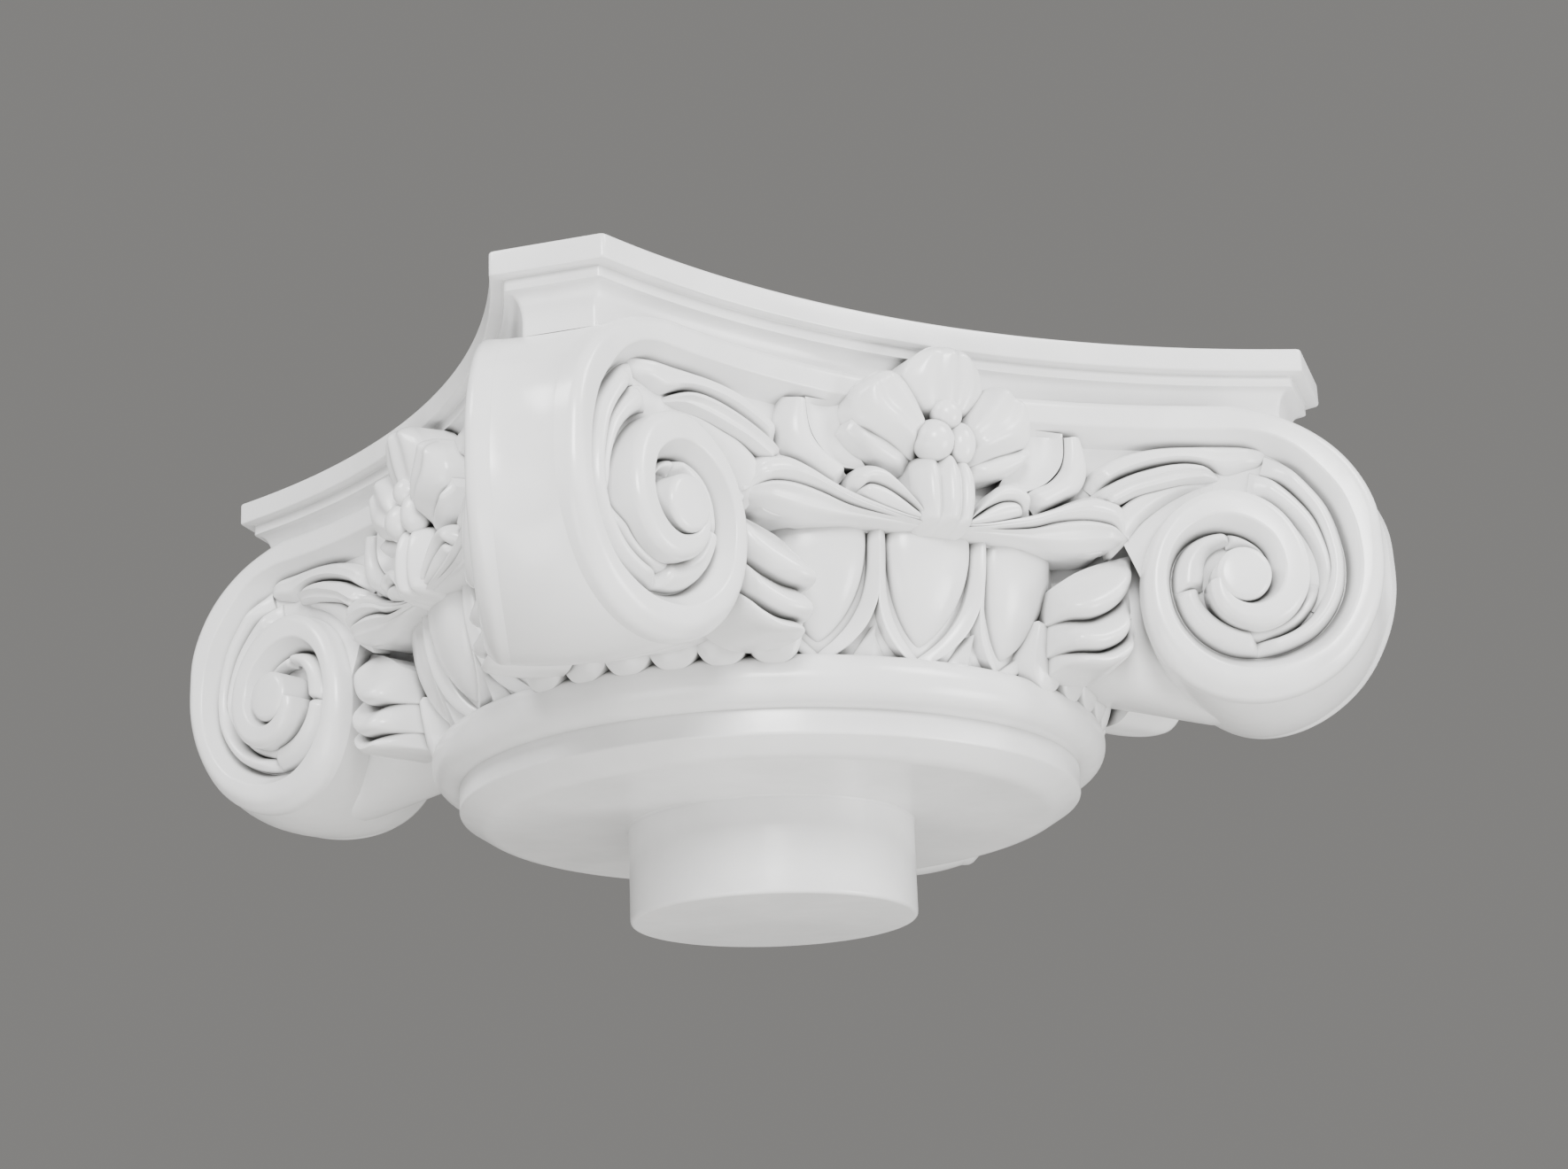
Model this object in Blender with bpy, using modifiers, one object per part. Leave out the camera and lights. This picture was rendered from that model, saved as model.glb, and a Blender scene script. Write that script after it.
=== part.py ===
"""Angular Ionic capital with four corner volutes, cast in one piece.

The capital is eight times the same eighth: the wedge between the middle of a
face and the nearest corner. The wedge is carved from a turned core, a lofted
abacus and ornament laid on two curved grounds, the concave face and the bowl
of the echinus. Three mirrors then complete it. Lengths are in metres, +Z is
up, and the origin is the centre of the locating boss's underside.
"""
import math

import bmesh
import bpy
import numpy as np

# Turned parts, from the boss upwards
BOSS_RADIUS = 0.0575
BOSS_HEIGHT = 0.0386
BOSS_ROUND = 0.002
NECK_RADIUS = 0.125
NECK_HEIGHT = 0.0164
NECK_ROUND = 0.0105
NECK_ROUND_HEIGHT = 0.0068
NECK_EASE = ((0.0, 0.0), (0.12, 0.40), (0.48, 0.76), (1.0, 1.0))
ASTRAGAL_HEIGHT = 0.0196
ASTRAGAL_BULGE = 0.011
ECHINUS_HEIGHT = 0.0434
ECHINUS_FLARE = 0.011
ECHINUS_STEP = 0.0015
CORE_INSET = 0.004

# Frieze, ribbon and abacus
FRIEZE_HEIGHT = 0.0595
FACE_PROUD = 0.0205
FACE_CURVE = 0.300
BED_DEPTH = 0.007
FRIEZE_BED_DEPTH = 0.009
FRIEZE_CUT = 0.003
FRIEZE_LAP = 0.004
CAVETTO_HEIGHT = 0.0095
CAVETTO_INSET = 0.0075
FILLET_HEIGHT = 0.0045
FILLET_INSET = 0.005
FASCIA_HEIGHT = 0.0099
FASCIA_ROUND = 0.0012
ABACUS_PROUD = 0.0018
ABACUS_CURVE = 0.366
ABACUS_CUT = 0.0225
ABACUS_ROOT = 0.02

# Volute: radii of the band's two edges at each quarter turn from the top
VOLUTE_OUT = 0.121
BAND_OUTER = (0.0675, 0.0540, 0.0500, 0.0375, 0.0350, 0.0255, 0.0200, 0.0140)
BAND_INNER = (0.0505, 0.0415, 0.0330, 0.0245, 0.0175, 0.0105, 0.0060, 0.0040)
BAND_EDGE = 0.002
BAND_LOW_EDGE = 0.0045
BAND_BEVEL = 0.005
BAND_ROOT = 0.012
BAND_LAP = 0.004
BED_LAP = 0.001
EYE_RADIUS = 0.011
EYE_RISE = 0.0075
EYE_DOME = 0.001
RIBBON_HOLLOW = 0.0025
RIBBON_BELLY = 0.0055
RIBBON_STEP = 0.0012
SCROLL_ROOT = 0.006
WEB_HALF_WIDTH = 0.026
WEB_STEP = 0.001

# Egg and dart round the bowl
EGG_PITCH = math.radians(18.0)
EGG_HALF_WIDTH = 0.0152
EGG_RISE = 0.0085
EGG_ROOT = 0.006
FRAME_HALF_WIDTH = 0.0029
FRAME_RISE = 0.0065
FRAME_LAP = 0.0014
FRAME_SEAT = 0.0005
FRAME_STEPS = 12

# Ornament drawn on a field of 121 by 59.5 mm, stretched to the real one
DRAWN_WIDTH = 121.0
DRAWN_HEIGHT = 59.5
DRAWN_BOWL = 43.4

CORE_SIDES = 40
FACE_STEPS = 5
QUARTER_STEPS = 4
INNER_QUARTER_STEPS = 3
EYE_SIDES = 9
KEPT_SHARE = 0.232

FACE_DEPTH = NECK_RADIUS + FACE_PROUD
ABACUS_DEPTH = FACE_DEPTH + ABACUS_PROUD
ABACUS_DIAGONAL = math.sqrt(2.0) * ABACUS_DEPTH + ABACUS_CUT
FRIEZE_DIAGONAL = math.sqrt(2.0) * (FACE_DEPTH - FRIEZE_BED_DEPTH) - FRIEZE_CUT
DRAWING_UNIT = FRIEZE_HEIGHT / DRAWN_HEIGHT
Z_NECK = BOSS_HEIGHT
Z_ASTRAGAL = Z_NECK + NECK_HEIGHT
Z_ECHINUS = Z_ASTRAGAL + ASTRAGAL_HEIGHT
Z_FRIEZE = Z_ECHINUS + ECHINUS_HEIGHT
Z_RIBBON = Z_FRIEZE + FRIEZE_HEIGHT
Z_FILLET = Z_RIBBON + CAVETTO_HEIGHT
Z_FASCIA = Z_FILLET + FILLET_HEIGHT
Z_TOP = Z_FASCIA + FASCIA_HEIGHT
VOLUTE_Z = Z_RIBBON - BAND_OUTER[0]
BOWL_BASE = NECK_RADIUS - ECHINUS_STEP

RIDGE = ((-1.0, 0.0), (0.0, 1.0), (1.0, 0.0))
ROUND = ((-1.0, 0.0), (-0.6, 0.78), (0.0, 1.0), (0.6, 0.78), (1.0, 0.0))
FLAT = ((-1.0, 0.0), (-0.55, 1.0), (0.55, 1.0), (1.0, 0.0))


def clear_scene():
    """Remove every object and collection of the open file."""
    for item in list(bpy.data.objects):
        bpy.data.objects.remove(item)
    for group in list(bpy.data.collections):
        bpy.data.collections.remove(group)


def new_collection(name):
    """Add a collection to the scene."""
    group = bpy.data.collections.new(name)
    bpy.context.scene.collection.children.link(group)
    return group


def new_object(name, mesh, group):
    """Put a mesh into the scene as an object of the given collection."""
    item = bpy.data.objects.new(name, mesh)
    group.objects.link(item)
    return item


def white_foam():
    """Factory-white satin finish of a rigid foam casting."""
    paint = bpy.data.materials.new("white_satin_foam")
    paint.use_nodes = True
    shader = paint.node_tree.nodes["Principled BSDF"]
    shader.inputs["Base Color"].default_value = (0.80, 0.80, 0.79, 1.0)
    shader.inputs["Roughness"].default_value = 0.38
    shader.inputs["Metallic"].default_value = 0.0
    return paint


def on_face(s, z, d):
    """Point of the concave face at arc length s, height z, raised by d."""
    turn = s / FACE_CURVE
    reach = FACE_CURVE - d
    return (reach * math.sin(turn), reach * math.cos(turn) - FACE_DEPTH - FACE_CURVE, z)


def bowl_radius(z):
    """Radius of the echinus bowl at height z."""
    rise = min(max((z - Z_ECHINUS) / ECHINUS_HEIGHT, 0.0), 1.0)
    return BOWL_BASE + ECHINUS_FLARE * math.sin(rise * math.pi / 2.0)


def on_bowl(s, z, d):
    """Point of the bowl at arc length s along the neck's circle, raised by d."""
    turn = s / NECK_RADIUS
    reach = bowl_radius(z) + d
    return (reach * math.sin(turn), -reach * math.cos(turn), z)


def on_field(x, y, d):
    """Point of the frieze given in millimetres of its drawing."""
    return on_face(x / DRAWN_WIDTH * VOLUTE_OUT, Z_FRIEZE + y / DRAWN_HEIGHT * FRIEZE_HEIGHT, d)


def on_girdle(x, y, d):
    """Point of the bowl given in millimetres of the egg and dart's drawing."""
    return on_bowl(x * DRAWING_UNIT, Z_ECHINUS + y / DRAWN_BOWL * ECHINUS_HEIGHT, d)


def smooth_path(points, count):
    """Sample a Catmull-Rom curve through the points at even parameters."""
    data = np.array(points, dtype=float)
    data = np.vstack([2 * data[0] - data[1], data, 2 * data[-1] - data[-2]])
    spans = len(points) - 1
    samples = []
    for k in range(count + 1):
        place = min(k * spans / count, spans - 1e-9)
        i = int(place)
        t = place - i
        a, b, c, e = data[i], data[i + 1], data[i + 2], data[i + 3]
        samples.append(0.5 * (2 * b + (c - a) * t + (2 * a - 5 * b + 4 * c - e) * t * t
                              + (3 * b - a - 3 * c + e) * t ** 3))
    return np.array(samples)


def loft(name, rings, group, hubs=None):
    """Skin a row of rings of equal length into one closed mesh.

    The end rings are closed by flat caps, or by fans round the given hubs.
    """
    mesh = bpy.data.meshes.new(name)
    work = bmesh.new()
    grid = [[work.verts.new(p) for p in ring] for ring in rings]
    for low, high in zip(grid, grid[1:]):
        for k in range(len(low)):
            n = (k + 1) % len(low)
            work.faces.new((low[k], low[n], high[n], high[k]))
    if hubs is None:
        work.faces.new(grid[0][::-1])
        work.faces.new(grid[-1])
    else:
        for ring, hub in zip((grid[0][::-1], grid[-1]), hubs):
            middle = work.verts.new(hub)
            for k in range(len(ring)):
                work.faces.new((ring[k], ring[(k + 1) % len(ring)], middle))
    bmesh.ops.remove_doubles(work, verts=work.verts, dist=1e-7)
    bmesh.ops.triangulate(work, faces=work.faces)
    bmesh.ops.recalc_face_normals(work, faces=work.faces)
    work.to_mesh(mesh)
    work.free()
    return new_object(name, mesh, group)


def lobe(name, place, path, width, height, group, base=0.0, sink=5.0, steps=6,
         section=RIDGE, fullness=0.6, heel=0.25):
    """Carve one leaf-like lobe along a path drawn on a curved ground.

    The half width swells as a sine arch from the heel to the tip, and the
    crest follows it. All drawing lengths are in millimetres.
    """
    line = smooth_path(path, steps)
    rings = []
    for k, point in enumerate(line):
        before = line[max(k - 1, 0)]
        after = line[min(k + 1, steps)]
        along = (after - before) / np.linalg.norm(after - before)
        side = np.array([-along[1], along[0]])
        t = heel + (1.0 - heel) * k / steps
        swell = max(math.sin(math.pi * t) ** fullness, 0.04)
        ring = []
        for across, up in section:
            spot = point + side * across * width * swell
            ring.append(place(spot[0], spot[1], (base + up * height * swell) * DRAWING_UNIT))
        for across in (0.8, -0.8):
            spot = point + side * across * width * swell
            ring.append(place(spot[0], spot[1], (base - sink) * DRAWING_UNIT))
        rings.append(ring)
    return loft(name, rings, group)


def turned(name, profile, sides, group):
    """Turn a closed-ended profile about Z with a Screw modifier."""
    mesh = bpy.data.meshes.new(name)
    edges = [(k, k + 1) for k in range(len(profile) - 1)]
    mesh.from_pydata([(r, 0.0, z) for r, z in profile], edges, [])
    item = new_object(name, mesh, group)
    screw = item.modifiers.new("turn", "SCREW")
    screw.steps = sides
    screw.render_steps = sides
    screw.use_merge_vertices = True
    screw.merge_threshold = 0.00001
    return item


def core_profile():
    """Outline of the turned core, from the top axis down to the boss."""
    points = [(0.0, Z_FILLET), (bowl_radius(Z_FRIEZE) - CORE_INSET, Z_FILLET)]
    for k in range(4):
        z = Z_FRIEZE - ECHINUS_HEIGHT * k / 3
        points.append((bowl_radius(z), z))
    half = ASTRAGAL_HEIGHT / 2
    for k in range(1, 6):
        turn = math.pi * k / 6
        points.append((NECK_RADIUS + ASTRAGAL_BULGE * math.sin(turn),
                       Z_ECHINUS - half + half * math.cos(turn)))
    points.append((NECK_RADIUS, Z_ASTRAGAL))
    for inward, down in NECK_EASE:
        points.append((NECK_RADIUS - NECK_ROUND * inward, Z_NECK + NECK_ROUND_HEIGHT * (1 - down)))
    points.append((BOSS_RADIUS, Z_NECK))
    for k in range(2):
        turn = math.pi / 2 * k
        points.append((BOSS_RADIUS - BOSS_ROUND * (1 - math.cos(turn)),
                       BOSS_ROUND * (1 - math.sin(turn))))
    points.append((0.0, 0.0))
    return points


def concave_outline(depth, curve, diagonal, inset, steps):
    """Plan of a four-horned slab: four concave arcs and four cut corners."""
    centre = depth + curve
    reach = curve + inset
    total = math.sqrt(2.0) * (diagonal - inset)
    mean = (total + centre) / 2.0
    x = (total - centre) / 2.0 + math.sqrt(reach ** 2 / 2.0 - ((centre - total) / 2.0) ** 2)
    x = min(x, mean)
    half_turn = math.asin(x / reach)
    side = []
    for k in range(steps + 1):
        turn = -half_turn + 2 * half_turn * k / steps
        side.append((reach * math.sin(turn), reach * math.cos(turn) - centre))
    outline = []
    for quarter in range(4):
        c, s = round(math.cos(quarter * math.pi / 2)), round(math.sin(quarter * math.pi / 2))
        outline += [(c * px - s * py, s * px + c * py) for px, py in side]
    return outline


def slab(name, depth, curve, diagonal, levels, group):
    """Loft a four-horned slab through (inset, height) levels."""
    rings = []
    for inset, z in levels:
        plan = concave_outline(depth, curve, diagonal, inset, 2 * FACE_STEPS)
        rings.append([(x, y, z) for x, y in plan])
    return loft(name, rings, group)


def abacus_levels():
    """Inset and height of the abacus's mouldings, from its hidden foot up."""
    full = FILLET_INSET + CAVETTO_INSET
    levels = [(full, Z_RIBBON - ABACUS_ROOT)]
    for k in range(4):
        turn = math.pi / 2 * k / 3
        levels.append((full - CAVETTO_INSET * (1 - math.cos(turn)),
                       Z_RIBBON + CAVETTO_HEIGHT * math.sin(turn)))
    levels.append((FILLET_INSET, Z_FASCIA))
    levels.append((0.0, Z_FASCIA + FASCIA_ROUND))
    levels.append((0.0, Z_TOP - FASCIA_ROUND))
    levels.append((FASCIA_ROUND, Z_TOP))
    return levels


def band_radius(table, quarter):
    """Radius of a band edge, eased between its quarter-turn values."""
    place = min(max(quarter + 1.0, 0.0), len(table) - 1 - 1e-9)
    i = int(place)
    t = place - i
    before = table[max(i - 1, 0)]
    after = table[min(i + 2, len(table) - 1)]
    a, b = table[i], table[i + 1]
    return 0.5 * (2 * a + (b - before) * t + (2 * before - 5 * a + 4 * b - after) * t * t
                  + (3 * a - before - 3 * b + after) * t ** 3)


def volute_point(radius, quarter):
    """Face coordinates at a radius and a number of quarter turns past outward."""
    turn = quarter * math.pi / 2
    return (VOLUTE_OUT + radius * math.cos(turn), VOLUTE_Z - radius * math.sin(turn))


def band_rise(quarter):
    """Height of the band above the ribbon's face, growing towards the eye."""
    t = min(max((quarter - 1.5) / 3.5, 0.0), 1.0)
    return EYE_RISE * t * t * (3 - 2 * t)


def band_stations():
    """Outer edge, inner edge, rise and lowness of the band from the face's middle in."""
    stations = []
    z_low = Z_RIBBON - BAND_OUTER[0] + BAND_INNER[0]
    for k in range(FACE_STEPS):
        s = -BAND_LAP + (VOLUTE_OUT + BAND_LAP) * k / FACE_STEPS
        stations.append(((s, Z_RIBBON), (s, z_low), 0.0, 0.0))
    quarters = [-1.0 + k / QUARTER_STEPS for k in range(3 * QUARTER_STEPS)]
    inner_turns = len(BAND_OUTER) - 4
    quarters += [2.0 + k / INNER_QUARTER_STEPS
                 for k in range(inner_turns * INNER_QUARTER_STEPS + 1)]
    for quarter in quarters:
        outer = volute_point(band_radius(BAND_OUTER, quarter), quarter)
        inner = volute_point(band_radius(BAND_INNER, quarter), quarter)
        low = math.exp(-(quarter - 1.0) ** 2 / 0.5)
        stations.append((outer, inner, band_rise(quarter), low))
    return stations


def volute_band(group):
    """Sweep the ribbon that crosses the face and winds into the volute."""
    rings = []
    for outer, inner, rise, low in band_stations():
        o, i = np.array(outer), np.array(inner)
        width = np.linalg.norm(i - o)
        e = (i - o) / width
        edge = min(BAND_EDGE + (BAND_LOW_EDGE - BAND_EDGE) * low, width * 0.3)
        bevel = min(BAND_BEVEL, width * 0.3)
        shape = ((o, -BAND_ROOT), (o, rise - edge), (o + e * edge, rise),
                 (i - e * bevel, rise), (i, rise - BED_DEPTH + BED_LAP), (i, -BAND_ROOT))
        rings.append([on_face(p[0], p[1], d) for p, d in shape])
    return loft("volute_band", rings, group)


def volute_eye(group):
    """Raised round eye at the end of the band."""
    rings = []
    for scale, d in ((1.0, -BAND_ROOT), (1.0, EYE_RISE - EYE_DOME), (0.75, EYE_RISE + EYE_DOME)):
        ring = []
        for k in range(EYE_SIDES):
            s, z = volute_point(EYE_RADIUS * scale, 4.0 * k / EYE_SIDES)
            ring.append(on_face(s, z, d))
        rings.append(ring)
    return loft("volute_eye", rings, group)


def ribbon_bulge(quarter):
    """Swell of the ribbon's middle past a straight rule from face to face.

    It is hollow where it faces outwards and full underneath.
    """
    turns = (-1.0, 0.0, 0.25, 0.5, 1.0, 2.0)
    return float(np.interp(quarter, turns, (0.0, -RIBBON_HOLLOW, 0.3 * RIBBON_BELLY,
                                            0.8 * RIBBON_BELLY, RIBBON_BELLY, RIBBON_BELLY)))


def corner_point(s, z, d, share, swell=0.0, away=(0.0, 0.0)):
    """Point of the rule from one face to the next across the diagonal."""
    x, y, _ = on_face(s, z, d)
    push = swell * 4.0 * share * (1.0 - share)
    slide = push * away[0] * math.sqrt(0.5)
    return (x + (-y - x) * share + slide, y + (-x - y) * share - slide, z + push * away[1])


def corner_scroll(group):
    """Body of a corner: the volute's outline ruled from face to face."""
    inner = 0.55 * VOLUTE_OUT
    edge = Z_RIBBON - RIBBON_STEP
    outline = [(inner, Z_FRIEZE - SCROLL_ROOT, 0.0), (inner, edge, 0.0), (0.75 * VOLUTE_OUT, edge, 0.0)]
    for k in range(3 * QUARTER_STEPS + 1):
        quarter = -1.0 + k / QUARTER_STEPS
        s, z = volute_point(band_radius(BAND_OUTER, quarter) - RIBBON_STEP, quarter)
        outline.append((s, z, ribbon_bulge(quarter)))
    rings = []
    for share in (0.0, 0.2, 0.5, 0.8, 1.0):
        ring = []
        for s, z, swell in outline:
            away = np.array([s - VOLUTE_OUT, z - VOLUTE_Z])
            away /= np.linalg.norm(away)
            ring.append(corner_point(s, z, -BED_DEPTH, share, swell, away))
        rings.append(ring)
    hubs = [corner_point(VOLUTE_OUT, VOLUTE_Z, -BED_DEPTH, share) for share in (0.0, 1.0)]
    return loft("corner_scroll", rings, group, hubs=hubs)


def corner_web(group):
    """Solid behind the palmettes that carries the volutes out from the bowl.

    Its underside runs down from the bowl's foot to the scroll's belly.
    """
    mesh = bpy.data.meshes.new("corner_web")
    work = bmesh.new()
    foot = Z_ECHINUS + WEB_STEP
    belly = VOLUTE_Z - BAND_OUTER[2] - RIBBON_BELLY
    tip = on_face(VOLUTE_OUT, 0.0, 0.0)
    reach = math.sqrt(0.5) * (tip[0] - tip[1])
    spots = ((reach, 0.46, belly + 3.0 * WEB_STEP),
             (0.68 * reach + 0.32 * BOWL_BASE, 0.92, belly + 6.0 * WEB_STEP),
             (1.1 * BOWL_BASE, 1.0, foot),
             (0.9 * BOWL_BASE, 1.0, foot + 4.0 * WEB_STEP),
             (reach, 0.92, belly + 14.0 * WEB_STEP),
             (0.5 * reach + 0.5 * BOWL_BASE, 1.2, belly + 20.0 * WEB_STEP),
             (reach, 0.92, Z_FRIEZE),
             (0.9 * BOWL_BASE, 1.4, Z_FRIEZE))
    for rho, share, z in spots:
        for across in (-share * WEB_HALF_WIDTH, share * WEB_HALF_WIDTH):
            work.verts.new(((rho - across) * math.sqrt(0.5), -(rho + across) * math.sqrt(0.5), z))
    bmesh.ops.convex_hull(work, input=work.verts)
    bmesh.ops.recalc_face_normals(work, faces=work.faces)
    work.to_mesh(mesh)
    work.free()
    return new_object("corner_web", mesh, group)


def egg(index, group):
    """One egg of the bowl, flat-sided above and pointed below."""
    middle = index * EGG_PITCH * NECK_RADIUS / DRAWING_UNIT
    top, tip = DRAWN_BOWL + 3.0, 5.0
    rings = []
    steps = 6
    for k in range(steps + 1):
        t = k / steps
        y = top + (tip - top) * t
        half = EGG_HALF_WIDTH / DRAWING_UNIT * max(1 - t ** 2.6, 0.02) ** 0.75
        crest = EGG_RISE * max(1 - t ** 3.0, 0.1) ** 0.5
        ring = [on_girdle(middle + half * across, y, crest * up) for across, up in ROUND]
        ring += [on_girdle(middle + half * across, y, -EGG_ROOT) for across in (0.8, -0.8)]
        rings.append(ring)
    return loft(f"egg_{index}", rings, group)


def egg_frame(index, group):
    """Raised frame that hangs round an egg like a pointed shield."""
    middle = index * EGG_PITCH * NECK_RADIUS / DRAWING_UNIT
    reach = (EGG_PITCH * NECK_RADIUS / 2 - FRAME_LAP) / DRAWING_UNIT
    half = [(1.0, 1.05), (1.0, 0.85), (0.93, 0.55), (0.72, 0.28), (0.42, 0.08), (0.0, -0.07)]
    path = [(middle - reach * a, DRAWN_BOWL * b) for a, b in half]
    path += [(middle + reach * a, DRAWN_BOWL * b) for a, b in half[-2::-1]]
    line = smooth_path(path, FRAME_STEPS)
    rings = []
    for k, point in enumerate(line):
        along = line[min(k + 1, FRAME_STEPS)] - line[max(k - 1, 0)]
        along /= np.linalg.norm(along)
        side = np.array([-along[1], along[0]]) * FRAME_HALF_WIDTH / DRAWING_UNIT
        ring = []
        for across, up in FLAT:
            spot = point + side * across
            ring.append(on_girdle(spot[0], spot[1], FRAME_RISE * up - FRAME_SEAT))
        for across in (0.8, -0.8):
            spot = point + side * across
            ring.append(on_girdle(spot[0], spot[1], -EGG_ROOT))
        rings.append(ring)
    return loft(f"egg_frame_{index}", rings, group)


def palmette(group):
    """Three bulging lobes of a half palmette between the eggs and the volute."""
    lobes = (
        ("high", [(52, -19), (63, -17), (71, -12), (79, -2)], 7.0),
        ("middle", [(53, -30), (64, -30), (72, -26), (80, -15)], 6.6),
        ("low", [(56, -41), (66, -42), (74, -37), (81, -27)], 5.8),
    )
    for mark, path, width in lobes:
        lobe(f"palmette_{mark}", on_field, path, width, 12.0, group, base=-15.0, sink=18.0,
             steps=5, section=FLAT, heel=0.25, fullness=0.45)


def frieze_leaves(group):
    """Acanthus leaves that spread from the calyx along the frieze."""
    bed = -FRIEZE_BED_DEPTH / DRAWING_UNIT
    leaves = (
        ("sweep_upper", [(52, 22), (68, 29), (84, 36.5), (102, 41), (122, 40.5), (142, 41)],
         5.0, 8.5, 8),
        ("sweep_lower", [(42, 16), (58, 21), (80, 27), (98, 31.5), (119, 30.5)], 5.8, 9.5, 7),
        ("under_sweep", [(34, 11), (50, 16), (70, 18.5), (88, 18.5), (103, 24)], 6.0, 8.0, 6),
        ("low_upper", [(14, 3), (30, 7.5), (50, 14), (66, 16), (79, 12)], 5.6, 10.5, 6),
        ("low_lower", [(8, 0.5), (28, 2.5), (50, 5.5), (66, 5.5), (79, 2)], 5.6, 11.5, 6),
        ("upright", [(38, 14), (50, 20), (58, 27), (61, 36), (58, 46)], 5.6, 9.5, 6),
        ("sheet", [(42, 16), (46, 26), (47, 34), (46, 45)], 9.0, 6.5, 4),
        ("curl", [(8, 4), (16, 14), (25, 21), (33, 19), (37, 9)], 6.0, 15.0, 6),
    )
    for mark, path, width, height, steps in leaves:
        lobe(f"leaf_{mark}", on_field, path, width, height, group, base=bed, sink=4.0,
             steps=steps)


def volute_leaves(group):
    """Rounded leaf segments that fill the channel between the band's turns."""
    segments = (("outer", -0.75, 0.35), ("low", 0.45, 1.25), ("inner", 1.35, 2.1),
                ("last", 2.2, 2.9))
    for mark, start, end in segments:
        path, widths = [], []
        for k in range(4):
            quarter = start + (end - start) * k / 3
            inner = band_radius(BAND_INNER, quarter)
            outer = band_radius(BAND_OUTER, quarter + 4.0)
            s, z = volute_point((inner + outer) / 2, quarter)
            path.append((s / DRAWING_UNIT, z / DRAWING_UNIT))
            widths.append((inner - outer) / 2 / DRAWING_UNIT)
        lobe(f"volute_leaf_{mark}", lambda x, y, d: on_face(x * DRAWING_UNIT, y * DRAWING_UNIT, d), path,
             max(widths) * 0.9, 5.0, group, base=-BED_DEPTH / DRAWING_UNIT, sink=3.0, steps=4,
             section=FLAT, heel=0.1, fullness=0.4)


def blob(name, place, x, y, radius, rise, group, sides=8):
    """Small dome on a curved ground, for a berry."""
    rings = []
    for scale, up in ((0.85, -2.4), (1.0, 0.0), (0.75, 0.66), (0.3, 0.95)):
        ring = []
        for k in range(sides):
            turn = 2 * math.pi * k / sides
            ring.append(place(x + radius * scale * math.cos(turn),
                              y + radius * scale * math.sin(turn),
                              (rise + radius * up) * DRAWING_UNIT))
        rings.append(ring)
    return loft(name, rings, group)


def flower(group):
    """Fleuron of the face: ribbed calyx, berries and wavy petals."""
    lobe("calyx_bowl", on_field, [(0, -2), (0, 13), (0, 29)], 14.0, 12.0, group, base=-4.0,
         sink=8.0, steps=5, section=ROUND, heel=0.25, fullness=0.5)
    lobe("calyx_rib", on_field, [(0, 1), (0, 14), (0, 28)], 3.4, 13.5, group, base=-3.0,
         sink=8.0, steps=4, heel=0.25, fullness=0.5)
    lobe("calyx_side_rib", on_field, [(4.5, 1), (9, 13), (8, 28)], 3.4, 11.5, group,
         base=-3.0, sink=8.0, steps=4, heel=0.25, fullness=0.5)
    blob("berry_low", on_field, 6.0, 35.0, 6.6, 5.0, group)
    blob("berry_top", on_field, 0.0, 45.0, 6.6, 5.0, group)
    lobe("petal_top", on_field, [(0, 43), (0, 56), (0, 71)], 18.5, 10.0, group, base=2.0,
         sink=22.0, steps=5, section=ROUND, heel=0.25, fullness=0.35)
    lobe("petal_side", on_field, [(9, 47), (22, 46), (37, 44)], 12.5, 8.0, group, base=-1.0,
         sink=12.0, steps=5, section=ROUND, heel=0.25, fullness=0.35)
    lobe("petal_low", on_field, [(10, 36), (20, 33), (33, 27)], 8.0, 7.0, group, base=-4.0,
         sink=8.0, steps=4, section=ROUND, heel=0.25, fullness=0.4)


def mirror_across(item, name, pivot, axis, flip):
    """Cut the mesh at a plane and mirror the kept half across it."""
    mirror = item.modifiers.new(name, "MIRROR")
    mirror.use_axis = [k == axis for k in range(3)]
    mirror.use_bisect_axis = [k == axis for k in range(3)]
    mirror.use_bisect_flip_axis = [flip and k == axis for k in range(3)]
    mirror.merge_threshold = 0.00001
    mirror.bisect_threshold = 0.000001
    mirror.mirror_object = pivot


def unite(item, name, operand):
    """Join an object, or all objects of a collection, to the item."""
    union = item.modifiers.new(name, "BOOLEAN")
    union.operation = "UNION"
    union.solver = "EXACT"
    if isinstance(operand, bpy.types.Collection):
        union.operand_type = "COLLECTION"
        union.collection = operand
    else:
        union.object = operand


def carve(core, abacus, frieze, ornament, guides):
    """Join the ornament of one wedge to the core and complete the capital."""
    unite(frieze, "ornament", ornament)
    thin = frieze.modifiers.new("thin", "DECIMATE")
    thin.ratio = KEPT_SHARE
    thin.use_collapse_triangulate = True
    unite(core, "abacus", abacus)
    unite(core, "carving", frieze)
    diagonal = bpy.data.objects.new("diagonal_guide", None)
    diagonal.rotation_euler = (0.0, 0.0, -math.pi / 4)
    guides.objects.link(diagonal)
    mirror_across(core, "corner", diagonal, 1, True)
    mirror_across(core, "face", None, 0, False)
    mirror_across(core, "back", None, 1, True)


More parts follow.
